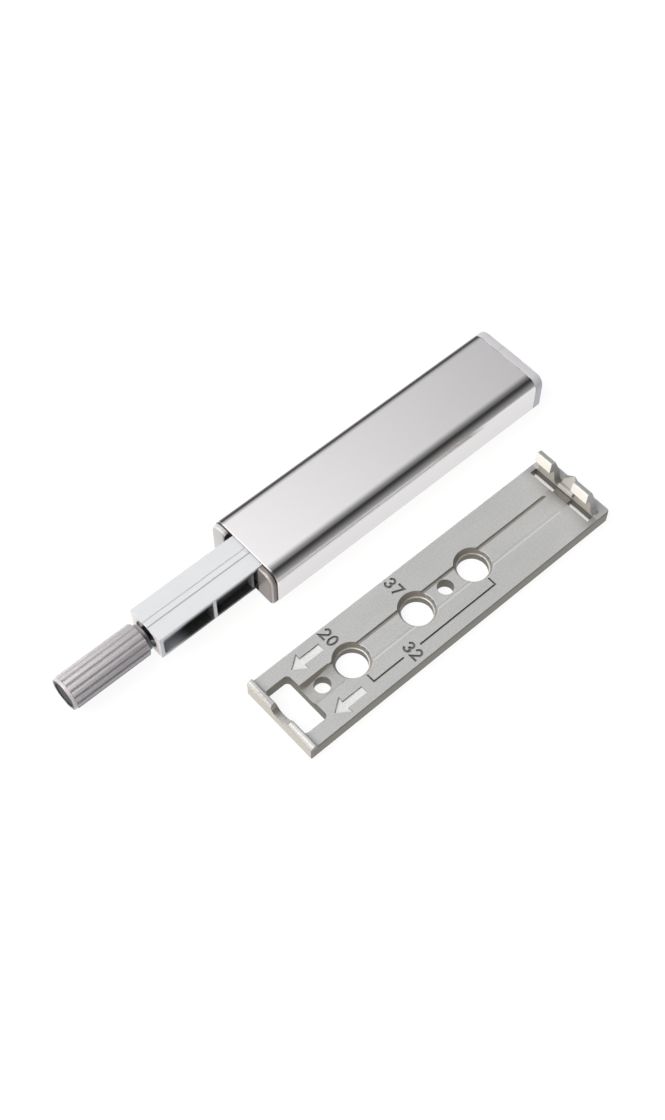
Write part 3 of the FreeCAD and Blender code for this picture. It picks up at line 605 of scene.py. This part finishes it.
def cast_zinc(name, colour, grain_depth=1.0):
    """Die-cast zinc with a fine matt grain and soft flow marks, painted shade in its
    hollows and on faces turned from the light, and painted light and highlights on faces
    turned to it.
    """
    look = blank(name)
    x, y, z = look.place()
    nx, ny, nz = look.facing()
    from_middle = y - PLATE_MIDDLE_Y
    off_middle = abs(from_middle)
    below_face = z < PLATE_TOP + 0.01
    inside = (x < PLATE_HIGH.x - 0.4) * (x > PLATE_LOW.x + 0.4) * (
        off_middle < 8.9) * (z < PLATE_TOP - 0.02)

    # Painted light and shade on faces by the side they turn to: shade on inner walls and
    # the near side, light towards the far side and the tip
    wall = look.within(abs(nz), 0.3, 0.75) * inside
    shaded_side = look.between(ny, 0.12, 0.55) * (1 - 0.62 * (z > PLATE_TOP + 0.1))
    lit_to_far = look.between(-1 * ny, 0.2, 0.6) * below_face
    lit_to_tip = look.between(nx, 0.5, 0.85) * (1 - inside)

    # Painted shade before the hooks and behind the tab, painted light and highlights on
    # the hooks' fronts, barbs and tab, and painted light low in the slots as if the
    # floor showed through
    # Painted shade on the plate before the hooks, darker between the slots
    before_hooks_shade = look.within(x, HOOK_X + 0.3, HOOK_X + 4.2) * (
        x > HOOK_X - 0.02) * below_face
    at_hooks = (x < HOOK_X + 2.0) * (z > PLATE_TOP + 0.2)
    # Painted highlights on the fronts of the barbs and the tab
    barb = look.between(z, PLATE_TOP + 5.7, PLATE_TOP + 5.9) * lit_to_tip
    tab = lit_to_tip * (off_middle < 1.95) * (x < HOOK_X + 0.3) * (z > PLATE_TOP - 0.02)
    # Painted shade on the web behind the tab
    gusset_shade = (x < HOOK_X - 0.72) * (off_middle < 2.0) * (z > PLATE_TOP + 0.05)
    # Painted light low on the slot walls, as if the bright floor showed through
    foot = (abs(x - HOOK_X) < 0.1) * (z < 1.3) * (off_middle > 1.9) * (off_middle < 8.8)

    # Painted shade in the sunk floor ahead of the front hole and along the channel's
    # sides, and a painted highlight on the channel's near rim, along the middle
    sunk = (off_middle < 2.62) * (z < PLATE_TOP - 0.1) * (z > 1.9) * (nz > 0.6)
    trough_shade = sunk * (x > FRONT_HOLE_X + 3.0) * (
        0.5 - 0.28 * look.between(from_middle, -2.2, 0.8))
    far_shade = sunk * look.within(from_middle, -1.9, -1.6) * 0.6
    near_shade = sunk * look.between(from_middle, 1.95, 2.25) * 0.3
    # Painted highlight along the channel's near rim
    ledge_highlight = look.within(abs(from_middle - 2.72), 0.05, 0.16) * (
        x < FRONT_HOLE_X) * (x > HOOK_X + 4.0) * (abs(z - PLATE_TOP) < 0.02)

    # A painted glint on the seats of the screw heads
    from_seat = 9.0
    for hole_x in (FRONT_HOLE_X, MIDDLE_HOLE_X, REAR_HOLE_X):
        along = x - hole_x
        reach = (along * along + from_middle * from_middle).math("SQRT")
        from_seat = abs(reach - SEAT_RADIUS).math("MINIMUM", from_seat)
    seat = look.within(from_seat, 0.05, 0.14) * (
        look.within(abs(z - PLATE_TOP + 1.3), 0.12, 0.2))

    # Painted shade from inner walls, the near side, the plate before the hooks and the
    # sunk floor
    dark = most(wall * 0.85, shaded_side * 0.6,
                before_hooks_shade * (0.35 + 0.35 * (off_middle < 2.6)),
                trough_shade, far_shade, near_shade)
    grain = look.noise((3.2, 3.2, 3.2), detail=4, roughness=0.75)
    pits = look.noise((1.6, 1.6, 1.6), detail=3, seed=11)
    flow = look.noise((0.08, 0.3, 0.3), detail=3, seed=13)
    # Painted light, highlights, glint and shade laid over the zinc's own tone
    tone = look.paint(
        look.tones(look.between(grain, 0.3, 0.7) * 0.6 + flow * 0.4, colour, 0.8, 1.2),
        (lit_to_tip, 0.6 + 0.2 * at_hooks, ZINC_FRONT_LIGHT),
        (most(barb, tab * 0.6), 0.85, ZINC_BARB_HIGHLIGHT),
        (ledge_highlight, 0.3, ZINC_LEDGE_HIGHLIGHT),
        (lit_to_far, 0.5, ZINC_FAR_LIGHT),
        (dark, 1.0, ZINC_SHADOW),
        (shaded_side, 0.35, ZINC_SIDE_SHADE),
        (gusset_shade, 0.4, ZINC_GUSSET_SHADE),
        (seat, 0.4, SEAT_GLINT),
        (foot, 0.9, SLOT_FOOT_LIGHT))
    rough = 0.42 + pits * 0.10 + grain * 0.05
    return finish(look, tone, rough,
                  look.bump(grain * 0.6 + pits * 0.4, 0.3 * grain_depth, 0.03),
                  metallic=0.35)


def magnet_face(colour):
    """Ground magnet: a slate field with a darker ring and a dark edge."""
    look = blank("magnet_face")
    _, y, z = look.place()
    across = off_axis(y, z)
    grain = look.noise((1.5, 5.0, 5.0), detail=4)
    ring = look.between(across, 1.5, 1.62) * look.within(across, 1.78, 1.9)
    edge = look.between(across, 2.05, 2.25)
    tone = look.paint(
        look.tones(grain, colour, 0.85, 1.25),
        (most(ring * 0.6, edge * 0.85), 1.0, scaled(colour, 0.2)))
    return finish(look, tone, 0.32 + grain * 0.15, look.bump(grain - ring, 0.1, 0.02),
                  specular=0.03)


def grained(name, colour, grains, detail, tones, rough, bump, **surface):
    """A plain finish whose tone, gloss and bumps follow one fine grain."""
    look = blank(name)
    grain = look.noise(grains, detail=detail)
    return finish(look, look.tones(grain, colour, *tones), rough[0] + grain * rough[1],
                  look.bump(grain, *bump), **surface)


def drawn_steel(colour):
    """Bright wire and turned parts."""
    return grained("drawn_steel", colour, (0.4, 5.0, 5.0), 3, tones=(0.9, 1.05),
                   rough=(0.24, 0.12), bump=(0.06, 0.01), metallic=1.0)


def plated_cup(colour):
    """Dark plating of the magnet's cup and the spindle."""
    return grained("plated_cup", colour, (4.0, 4.0, 4.0), 3, tones=(0.8, 1.3),
                   rough=(0.3, 0.12), bump=(0.08, 0.01), specular=0.12)


def buffer_rubber(colour):
    """Matt black rubber."""
    return grained("buffer_rubber", colour, (3.0, 3.0, 3.0), 4, tones=(0.8, 1.6),
                   rough=(0.6, 0.2), bump=(0.2, 0.02))


# Mesh helpers

def mesh_of(bm, name):
    """Turns a bmesh into a mesh and frees it."""
    mesh = bpy.data.meshes.new(name)
    bm.to_mesh(mesh)
    bm.free()
    return mesh


def add_piece(name, mesh, material):
    """Adds a mesh to the scene; one without materials gets the one given."""
    piece = bpy.data.objects.new(name, mesh)
    bpy.context.scene.collection.objects.link(piece)
    if not mesh.materials:
        mesh.materials.append(material)
    return piece


def take_place(piece, node):
    """Lets a piece stand for a CAD node: it joins the node's body and the node is
    hidden.
    """
    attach(piece, BODIES[node])
    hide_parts(node)
    return piece


def merged_mesh(node):
    """The node's mesh with its split corners joined and flat faces made whole."""
    bm = bmesh.new()
    bm.from_mesh(frame["nodes"][node].data)
    bmesh.ops.remove_doubles(bm, verts=bm.verts, dist=0.002 * MM)
    bmesh.ops.dissolve_limit(
        bm, angle_limit=math.radians(0.5), verts=bm.verts, edges=bm.edges)
    return bm


def round_edges(bm, width):
    """Rounds the sharp edges; those of cut marks, which have other materials, stay."""
    sharp = [edge for edge in bm.edges
             if len(edge.link_faces) == 2
             and edge.calc_face_angle() > SHARP_EDGE
             and not any(face.material_index for face in edge.link_faces)]
    bmesh.ops.bevel(
        bm, geom=sharp, offset=width, offset_type="OFFSET", segments=2,
        profile=0.6, affect="EDGES", clamp_overlap=False, miter_outer="SHARP")


def smooth_shade(mesh, angle=32):
    """Smooth faces, with sharp edges where they meet at more than an angle."""
    for face in mesh.polygons:
        face.use_smooth = True
    mesh.set_sharp_from_angle(angle=math.radians(angle))


def weigh_normals(piece):
    """Keeps broad flat faces flat beside their rounded edges, in the mesh itself."""
    modifier = piece.modifiers.new("flat_faces", "WEIGHTED_NORMAL")
    modifier.mode = "FACE_AREA"
    modifier.keep_sharp = True
    settle(piece)


def settle(piece):
    """Applies a piece's modifiers to its mesh."""
    graph = bpy.context.evaluated_depsgraph_get()
    mesh = bpy.data.meshes.new_from_object(
        piece.evaluated_get(graph), preserve_all_data_layers=True, depsgraph=graph)
    piece.modifiers.clear()
    piece.data = mesh


def dressed_copy(node, name, material, width, cutters=()):
    """A copy of a CAD node with rounded edges, standing in the node's place."""
    mesh = mesh_of(merged_mesh(node), name)
    mesh.materials.clear()
    for face in mesh.polygons:
        face.material_index = 0
    piece = add_piece(name, mesh, material)
    for cutter in cutters:
        cut = piece.modifiers.new("mark", "BOOLEAN")
        cut.operation = "DIFFERENCE"
        cut.solver = "EXACT"
        cut.material_mode = "TRANSFER"
        cut.object = cutter
    if cutters:
        settle(piece)
        for cutter in cutters:
            bpy.data.objects.remove(cutter)
    if width > 0:
        bm = bmesh.new()
        bm.from_mesh(piece.data)
        round_edges(bm, width)
        bm.to_mesh(piece.data)
        bm.free()
    smooth_shade(piece.data)
    weigh_normals(piece)
    return take_place(piece, node)


def axis_point(x, radius, turn):
    """A point round the plunger's axis, after so many turns from +Y."""
    angle = 2 * math.pi * turn
    return Vector((x, radius * math.cos(angle),
                   AXIS_Z * MM + radius * math.sin(angle)))


def skin_over(name, rings, angle):
    """A closed mesh over rings that have the same number of points."""
    bm = bmesh.new()
    loops = [[bm.verts.new(point) for point in ring] for ring in rings]
    for first, second in zip(loops, loops[1:]):
        for step in range(len(first)):
            after = (step + 1) % len(first)
            bm.faces.new((first[step], second[step], second[after], first[after]))
    bm.faces.new(loops[0])
    bm.faces.new(list(reversed(loops[-1])))
    bmesh.ops.recalc_face_normals(bm, faces=bm.faces)
    mesh = mesh_of(bm, name)
    smooth_shade(mesh, angle)
    return mesh


def tube_mesh(name, path, radius, sides=14):
    """A round wire along a path of points, with flat ends."""
    rings = []
    last_side = None
    for place, point in enumerate(path):
        ahead = path[min(place + 1, len(path) - 1)] - path[max(place - 1, 0)]
        ahead.normalize()
        if last_side is None:
            last_side = ahead.orthogonal().normalized()
        side = (last_side - ahead * last_side.dot(ahead)).normalized()
        up = ahead.cross(side)
        last_side = side
        angles = [2 * math.pi * step / sides for step in range(sides)]
        rings.append([point + (side * math.cos(angle) + up * math.sin(angle)) * radius
                      for angle in angles])
    return skin_over(name, rings, 50)


def rounded_route(corners, radius, steps=6):
    """Straight runs joined by arcs, as a bent wire has them."""
    route = [corners[0]]
    for before, corner, after in zip(corners, corners[1:], corners[2:]):
        back = (before - corner).normalized()
        forth = (after - corner).normalized()
        half = back.angle(forth) / 2
        run = radius / math.tan(half)
        centre = corner + (back + forth).normalized() * (radius / math.sin(half))
        start = corner + back * run - centre
        end = corner + forth * run - centre
        sweep = start.angle(end)
        for step in range(steps + 1):
            share = step / steps
            route.append(centre + (start * math.sin((1 - share) * sweep)
                                   + end * math.sin(share * sweep)) / math.sin(sweep))
    route.append(corners[-1])
    return route


def settings():
    """The user's sizes, colours and stage settings."""
    scene = bpy.context.scene
    return scene.catch_sizes, scene.catch_colours, scene.catch_stage


# Pieces

class CATCH_OT_dress_sleeve(bpy.types.Operator):
    """Dresses the folded stainless sleeve"""
    bl_idname = "catch.dress_sleeve"
    bl_label = "Sleeve"

    def execute(self, context):
        sizes, colours, _ = settings()
        dressed_copy("sleeve", "sleeve_shell", satin_stainless(colours.steel),
                     sizes.sheet_round)
        return {"FINISHED"}


class CATCH_OT_dress_mouldings(bpy.types.Operator):
    """Dresses the chassis and the rear cap"""
    bl_idname = "catch.dress_mouldings"
    bl_label = "Chassis and rear cap"

    def execute(self, context):
        sizes, colours, _ = settings()
        dressed_copy("chassis", "chassis_moulding", chassis_plastic(colours.housing),
                     sizes.edge_round)
        dressed_copy("rear_cap", "rear_cap_moulding", cap_plastic(colours.cap),
                     sizes.edge_round)
        return {"FINISHED"}


class CATCH_OT_dress_slider(bpy.types.Operator):
    """Dresses the square plunger and sets a thin post in each rear bay"""
    bl_idname = "catch.dress_slider"
    bl_label = "Slider"

    def execute(self, context):
        sizes, colours, _ = settings()
        dressed_copy("slider", "slider_moulding",
                     slider_plastic(colours.slider, colours.slider_core_and_shade),
                     sizes.edge_round)
        grey = post_plastic(scaled(colours.slider, 0.3))
        self.set_post("slider_post_near", 1, grey)
        self.set_post("slider_post_far", -1, grey)
        return {"FINISHED"}

    def set_post(self, name, side, material):
        """A thin upright post between the slider's slabs, close to the sleeve."""
        bm = bmesh.new()
        bmesh.ops.create_cube(bm, size=1.0)
        middle = Vector((POST_MIDDLE.x, side * POST_MIDDLE.y, POST_MIDDLE.z))
        for vert in bm.verts:
            vert.co = (vert.co * POST_SIZE + middle) * MM
        piece = add_piece(name, mesh_of(bm, name), material)
        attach(piece, BODIES["slider"])


class CATCH_OT_dress_tip(bpy.types.Operator):
    """Dresses the ribbed barrel, the magnet's cup and the magnet"""
    bl_idname = "catch.dress_tip"
    bl_label = "Tip"

    def execute(self, context):
        sizes, colours, _ = settings()
        self.turn_barrel(sizes, tip_plastic(colours.knob))
        dressed_copy("magnet_cup", "magnet_cup_ring", plated_cup(colours.cup),
                     sizes.sheet_round)
        dressed_copy("magnet", "magnet_disc", magnet_face(colours.magnet),
                     sizes.edge_round)
        return {"FINISHED"}

    def turn_barrel(self, sizes, material):
        """The barrel turned afresh, its ribs with rounded grooves between them."""
        back, tip = KNOB_LOW.x, KNOB_HIGH.x
        rear, rim = back + 0.9, tip - 0.7
        full = (KNOB_HIGH.z - KNOB_LOW.z) / 2 + 0.01
        # Place along X, radius and share of the rib depth, from bore to bore
        profile = [
            (rear + 9.5, 1.77, 0), (back, 1.77, 0), (back, 2.8, 0),
            (back + 0.1, 2.92, 0), (rear, 2.92, 0), (rear, full - 0.3, 0),
            (rear + 0.05, full - 0.12, 0.5), (rear + 0.2, full, 1),
            (rim - 0.2, full, 1), (rim - 0.05, full - 0.06, 0.8),
            (rim, full - 0.2, 0.3), (rim + 0.03, full - 0.17, 0),
            (tip - 0.16, full - 0.16, 0), (tip - 0.04, full - 0.22, 0),
            (tip, full - 0.34, 0), (tip, 3.13, 0), (tip - 0.04, 3.1, 0),
            (tip - 3.45, 3.1, 0)]
        around = sizes.knob_ribs * 14
        dips = []
        for step in range(around):
            from_land = abs((step / around * sizes.knob_ribs) % 1.0 - 0.5) * 2
            from_groove = max(0.0, min(1.0, (from_land - 0.08) / 0.52))
            dips.append(1 - from_groove * from_groove * (3 - 2 * from_groove))
        rings = [[axis_point(x * MM, radius * MM - share * sizes.rib_depth * dip,
                             step / around + 0.25)
                  for step, dip in enumerate(dips)]
                 for x, radius, share in profile]
        mesh = skin_over("knob_barrel", rings, 40)
        take_place(add_piece("knob_barrel", mesh, material), "knob")


class CATCH_OT_cut_thread(bpy.types.Operator):
    """Cuts the spindle with its screw thread"""
    bl_idname = "catch.cut_thread"
    bl_label = "Threaded spindle"

    sides = 36
    steps = 8

    def execute(self, context):
        sizes, colours, _ = settings()
        pitch = sizes.thread_pitch
        crest = (SPINDLE_HIGH.z - SPINDLE_LOW.z) / 2 * MM - 0.01 * MM
        start, end = SPINDLE_LOW.x * MM, SPINDLE_HIGH.x * MM
        count = round((end - start) / pitch * self.steps)
        rings = []
        for place in range(count + 1):
            x = start + (end - start) * place / count
            lead = min(x - start, end - x) / pitch
            ring = []
            for step in range(self.sides):
                turn = step / self.sides
                phase = (x / pitch - turn) % 1.0
                ridge = max(0.0, min(1.0, 1.65 - abs(phase - 0.5) * 4.4))
                depth = sizes.thread_depth * (1 - ridge)
                depth += sizes.thread_depth * max(0.0, 1 - lead * 1.5) * ridge
                ring.append(axis_point(x, crest - depth, turn))
            rings.append(ring)
        mesh = skin_over("spindle_thread", rings, 60)
        piece = add_piece("spindle_thread", mesh, plated_cup(colours.cup))
        take_place(piece, "spindle")
        return {"FINISHED"}


class CATCH_OT_wind_spring(bpy.types.Operator):
    """Winds the main spring with closed ends"""
    bl_idname = "catch.wind_spring"
    bl_label = "Main spring"

    steps = 28

    def execute(self, context):
        sizes, colours, _ = settings()
        wire = sizes.coil_wire
        start = SPRING_LOW.x * MM + wire / 2
        end = SPRING_HIGH.x * MM - wire / 2
        mean = (SPRING_HIGH.z - SPRING_LOW.z) / 2 * MM - wire / 2
        turns = sizes.coil_turns
        open_pitch = (end - start - 2 * wire) / (turns - 2)
        path = []
        for step in range(turns * self.steps + 1):
            turn = step / self.steps
            closed_start = min(turn, 1.0)
            closed_end = max(turn - (turns - 1), 0.0)
            middle = turn - closed_start - closed_end
            x = start + wire * (closed_start + closed_end) + open_pitch * middle
            path.append(axis_point(x, mean, turn))
        mesh = tube_mesh("coil_spring", path, wire / 2, sides=10)
        piece = add_piece("coil_spring", mesh, drawn_steel(colours.spring_steel))
        take_place(piece, "main_spring")
        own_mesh(piece)
        return {"FINISHED"}


class CATCH_OT_bend_latch_wire(bpy.types.Operator):
    """Bends the round latch wire"""
    bl_idname = "catch.bend_latch_wire"
    bl_label = "Latch wire"

    def execute(self, context):
        sizes, colours, _ = settings()
        radius = (LATCH_HIGH.z - LATCH_LOW.z) / 2 * MM
        rear = LATCH_LOW.x * MM + radius
        front = LATCH_HIGH.x * MM - radius
        height = (LATCH_HIGH.z + LATCH_LOW.z) / 2 * MM
        arm = 6.2 * MM
        corners = [Vector((rear, LATCH_HIGH.y * MM, height)),
                   Vector((rear, arm, height)),
                   Vector((front, arm, height)),
                   Vector((front, LATCH_LOW.y * MM, height))]
        route = rounded_route(corners, sizes.latch_bend)
        mesh = tube_mesh("latch_wire_bent", route, radius)
        piece = add_piece("latch_wire_bent", mesh, drawn_steel(colours.spring_steel))
        take_place(piece, "latch_wire")
        return {"FINISHED"}


class CATCH_OT_dress_rod_and_buffer(bpy.types.Operator):
    """Dresses the spring's guide rod and the rubber buffer"""
    bl_idname = "catch.dress_rod_and_buffer"
    bl_label = "Guide rod and buffer"

    def execute(self, context):
        sizes, colours, _ = settings()
        dressed_copy("spring_rod", "guide_rod", drawn_steel(colours.spring_steel),
                     sizes.sheet_round)
        dressed_copy("rear_buffer", "buffer_ring", buffer_rubber(colours.rubber),
                     sizes.edge_round)
        return {"FINISHED"}


def prism(name, outline, top, depth, wall, floor):
    """A closed block from a flat outline, for cutting a mark: wall and floor differ."""
    bm = bmesh.new()
    low, high = ([bm.verts.new((x * MM, y * MM, level)) for x, y in outline]
                 for level in (top - depth, top + depth))
    bm.faces.new(low).material_index = 1
    bm.faces.new(high)
    for step in range(len(outline)):
        after = (step + 1) % len(outline)
        bm.faces.new((low[step], low[after], high[after], high[step]))
    bmesh.ops.recalc_face_normals(bm, faces=bm.faces)
    block = add_piece(name, mesh_of(bm, name), wall)
    block.data.materials.append(floor)
    return block


def stroke(points, width):
    """Outline of a line of some width along points, with squared ends."""
    half = width / 2
    left, right = [], []
    flat = [Vector(point) for point in points]
    for place, point in enumerate(flat):
        sides = []
        if place > 0:
            sides.append((point - flat[place - 1]).normalized())
        if place < len(flat) - 1:
            sides.append((flat[place + 1] - point).normalized())
        ahead = sum(sides, Vector((0, 0))).normalized()
        reach = half / max(0.35, ahead.dot(sides[0]))
        out = Vector((-ahead.y, ahead.x)) * reach
        end = Vector((0, 0))
        if place == 0:
            end = -sides[0] * half
        elif place == len(flat) - 1:
            end = sides[0] * half
        left.append(tuple(point + out + end))
        right.append(tuple(point - out + end))
    return left + right[::-1]


def arc(centre, radii, start, end, steps):
    """Points on an arc; angles in degrees, 0 to the right, 90 up."""
    angles = [math.radians(start + (end - start) * n / steps) for n in range(steps + 1)]
    return [(centre[0] + radii[0] * math.cos(angle),
             centre[1] + radii[1] * math.sin(angle)) for angle in angles]


# Digits as strokes in a cell 0.66 wide and 1 high, drawn upright
DIGITS = {
    "0": [arc((0.33, 0.5), (0.25, 0.42), 80, -100, 12),
          arc((0.33, 0.5), (0.25, 0.42), 260, 80, 12)],
    "2": [arc((0.33, 0.67), (0.25, 0.25), 160, -30, 9) + [(0.08, 0.08), (0.6, 0.08)]],
    "3": [arc((0.31, 0.70), (0.23, 0.22), 160, -80, 10),
          arc((0.31, 0.29), (0.26, 0.22), 80, -160, 10)],
    "7": [[(0.07, 0.92), (0.59, 0.92), (0.24, 0.08)]],
}

# The drilling numbers: digits, foot along X and first edge along Y
NUMBERS = (("37", -16.65, 21.1), ("20", 0.3, 21.1), ("32", -9.65, 33.95))


def number_lines(text, foot, first, height):
    """Lines of a number that is read along +Y."""
    return [[(foot - v * height, first + (place * 0.8 + u) * height) for u, v in line]
            for place, digit in enumerate(text) for line in DIGITS[digit]]


def bracket_lines():
    """The bracket that joins the outer holes, open for its number."""
    line_y = PLATE_MIDDLE_Y + MARK_LINE
    tick_y = line_y - 1.7
    return [[(hole_x, tick_y), (hole_x, line_y), (end_x, line_y)]
            for hole_x, end_x in ((FRONT_HOLE_X, FRONT_HOLE_X - 7.5),
                                  (REAR_HOLE_X, FRONT_HOLE_X - 12.1))]


def arrow_outline(middle):
    """A block arrow that points to the plate's front, in millimetres."""
    rear, neck, tip = 1.45, 6.25, 9.0
    shaft, head = 0.85, 2.02
    barb = neck - 0.1
    return [(rear, middle - shaft), (rear, middle + shaft), (neck, middle + shaft),
            (barb, middle + head), (tip, middle), (barb, middle - head),
            (neck, middle - shaft)]


class CATCH_OT_dress_plate(bpy.types.Operator):
    """Dresses the die-cast adapter plate and cuts its drilling marks"""
    bl_idname = "catch.dress_plate"
    bl_label = "Adapter plate"

    def execute(self, context):
        sizes, colours, _ = settings()
        zinc = cast_zinc("cast_zinc", colours.zinc)
        # The marks' zinc is darker, for painted shade and dirt in the cuts; the arrows'
        # walls are painted shade and their floors a paler zinc
        dark = cast_zinc("mark_zinc", scaled(colours.zinc, 0.38), 0.5)
        shade = cast_zinc("wall_zinc", scaled(colours.zinc, 0.6), 0.5)
        bright = cast_zinc("arrow_zinc", scaled(colours.zinc, 1.5), 0.3)
        top = PLATE_TOP * MM
        depth = sizes.mark_depth
        width = sizes.mark_width / MM
        outlines = [stroke(line, width) for number in NUMBERS
                    for line in number_lines(*number, sizes.number_height / MM)]
        outlines += [stroke(line, width * 0.8) for line in bracket_lines()]
        cutters = [prism(f"mark_{place}", outline, top, depth, dark, dark)
                   for place, outline in enumerate(outlines)]
        arrows = [arrow_outline(PLATE_MIDDLE_Y + side * MARK_LINE) for side in (-1, 1)]
        cutters += [prism(f"arrow_{place}", outline, top, depth, shade, bright)
                    for place, outline in enumerate(arrows)]
        dressed_copy("adapter_plate", "plate_casting", zinc, sizes.cast_round, cutters)
        return {"FINISHED"}


# Stage

class CATCH_OT_lay_stage(bpy.types.Operator):
    """Lays the floor, the soft light and the camera"""
    bl_idname = "catch.lay_stage"
    bl_label = "Stage"

    aim = Vector((-14.35, 9.02, 0.0)) * MM
    floor_side = 4.0
    floor_gap = 0.02 * MM

    def execute(self, context):
        stage = settings()[2]
        self.set_camera(stage)
        self.set_light(stage)
        if stage.show_floor:
            self.lay_floor(stage)
        view = bpy.context.scene.view_settings
        view.view_transform = "Standard"
        view.look = "None"
        view.exposure = 0.0
        view.gamma = 1.0
        return {"FINISHED"}

    def set_camera(self, stage):
        level = math.cos(stage.elevation)
        back = Vector((math.sin(stage.azimuth) * level,
                       -math.cos(stage.azimuth) * level,
                       math.sin(stage.elevation)))
        data = bpy.data.cameras.new("catch_camera")
        data.lens = stage.lens
        data.sensor_width = 36.0
        data.sensor_fit = "AUTO"
        data.clip_start = 0.01
        data.clip_end = 20.0
        camera = bpy.data.objects.new("catch_camera", data)
        bpy.context.scene.collection.objects.link(camera)
        camera.location = self.aim + back * stage.distance
        camera.rotation_euler = back.to_track_quat("Z", "Y").to_euler()
        bpy.context.scene.camera = camera

    def set_light(self, stage):
        """A bank beyond the long side, a dark flag overhead, and a lamp at the tip."""
        world = bpy.data.worlds.new("soft_studio")
        bpy.context.scene.world = world
        world.use_nodes = True
        look = Look(world.node_tree)
        x, y, z = look.axes(look.coordinate("Generated"))
        bank = stage.bank * (0.08 + z * z * 1.28)
        tilt = most(1 + (x + 0.4) * stage.bank_tilt, 0.4).math("MINIMUM", 1.9)
        plate_side = most(stage.fill - z * 0.45, stage.flag)
        on_bank_side = look.within(y, -0.33, 0.02)
        level = plate_side + (bank * tilt - plate_side) * on_bank_side
        reach = math.cos(stage.key_height)
        lamp = (reach * 0.985, reach * -0.17, math.sin(stage.key_height))
        toward_lamp = x * lamp[0] + y * lamp[1] + z * lamp[2]
        key = look.between(toward_lamp, 0.84, 0.97) * stage.key
        above_floor = look.between(z, -0.02, 0.0)
        level = 0.95 + (level - 0.95) * above_floor
        colour = look.node("ShaderNodeCombineColor", None, {
            channel: level + key * above_floor * tint
            for channel, tint in zip(("Red", "Green", "Blue"), stage.key_colour)})
        sky = look.node("ShaderNodeBackground", None,
                        {"Color": colour.outputs[0], "Strength": 1.0})
        look.node("ShaderNodeOutputWorld", None, {"Surface": sky.outputs[0]})

    def lay_floor(self, stage):
        bm = bmesh.new()
        bmesh.ops.create_grid(bm, x_segments=8, y_segments=8, size=self.floor_side / 2)
        pale = finish(blank("pale_floor"), tuple(stage.floor_colour), 0.8,
                      specular=0.0, glow=stage.floor_glow)
        floor = add_piece("floor", mesh_of(bm, "floor"), pale)
        floor.location = (0, 0, -self.floor_gap)


class CATCH_PT_catch(bpy.types.Panel):
    """Lists the catch's pieces, sizes and colours"""
    bl_idname = "CATCH_PT_catch"
    bl_label = "Push to open catch"
    bl_space_type = "VIEW_3D"
    bl_region_type = "UI"
    bl_category = "Catch"

    def draw(self, context):
        layout = self.layout
        pieces = layout.box()
        pieces.label(text="Pieces and stage")
        for operator in MAKERS:
            pieces.operator(operator.bl_idname)
        for group in (context.scene.catch_sizes, context.scene.catch_colours,
                      context.scene.catch_stage):
            box = layout.box()
            for name in group.__annotations__:
                box.prop(group, name)


MAKERS = (
    CATCH_OT_lay_stage,
    CATCH_OT_dress_sleeve,
    CATCH_OT_dress_mouldings,
    CATCH_OT_dress_slider,
    CATCH_OT_dress_tip,
    CATCH_OT_cut_thread,
    CATCH_OT_wind_spring,
    CATCH_OT_bend_latch_wire,
    CATCH_OT_dress_rod_and_buffer,
    CATCH_OT_dress_plate,
)
CLASSES = (CatchSizes, CatchColours, StageLook, *MAKERS, CATCH_PT_catch)
BODIES = {node: body for body, nodes in frame["record"]["behaviour"]["bodies"].items()
          for node in nodes}


def register():
    for kind in CLASSES:
        bpy.utils.register_class(kind)
    bpy.types.Scene.catch_sizes = PointerProperty(type=CatchSizes)
    bpy.types.Scene.catch_colours = PointerProperty(type=CatchColours)
    bpy.types.Scene.catch_stage = PointerProperty(type=StageLook)


def unregister():
    del bpy.types.Scene.catch_stage
    del bpy.types.Scene.catch_colours
    del bpy.types.Scene.catch_sizes
    for kind in reversed(CLASSES):
        bpy.utils.unregister_class(kind)


def main():
    register()
    bpy.ops.catch.lay_stage()
    bpy.ops.catch.dress_sleeve()
    bpy.ops.catch.dress_mouldings()
    bpy.ops.catch.dress_slider()
    bpy.ops.catch.dress_tip()
    bpy.ops.catch.cut_thread()
    bpy.ops.catch.wind_spring()
    bpy.ops.catch.bend_latch_wire()
    bpy.ops.catch.dress_rod_and_buffer()
    bpy.ops.catch.dress_plate()


if __name__ == "__main__":
    main()
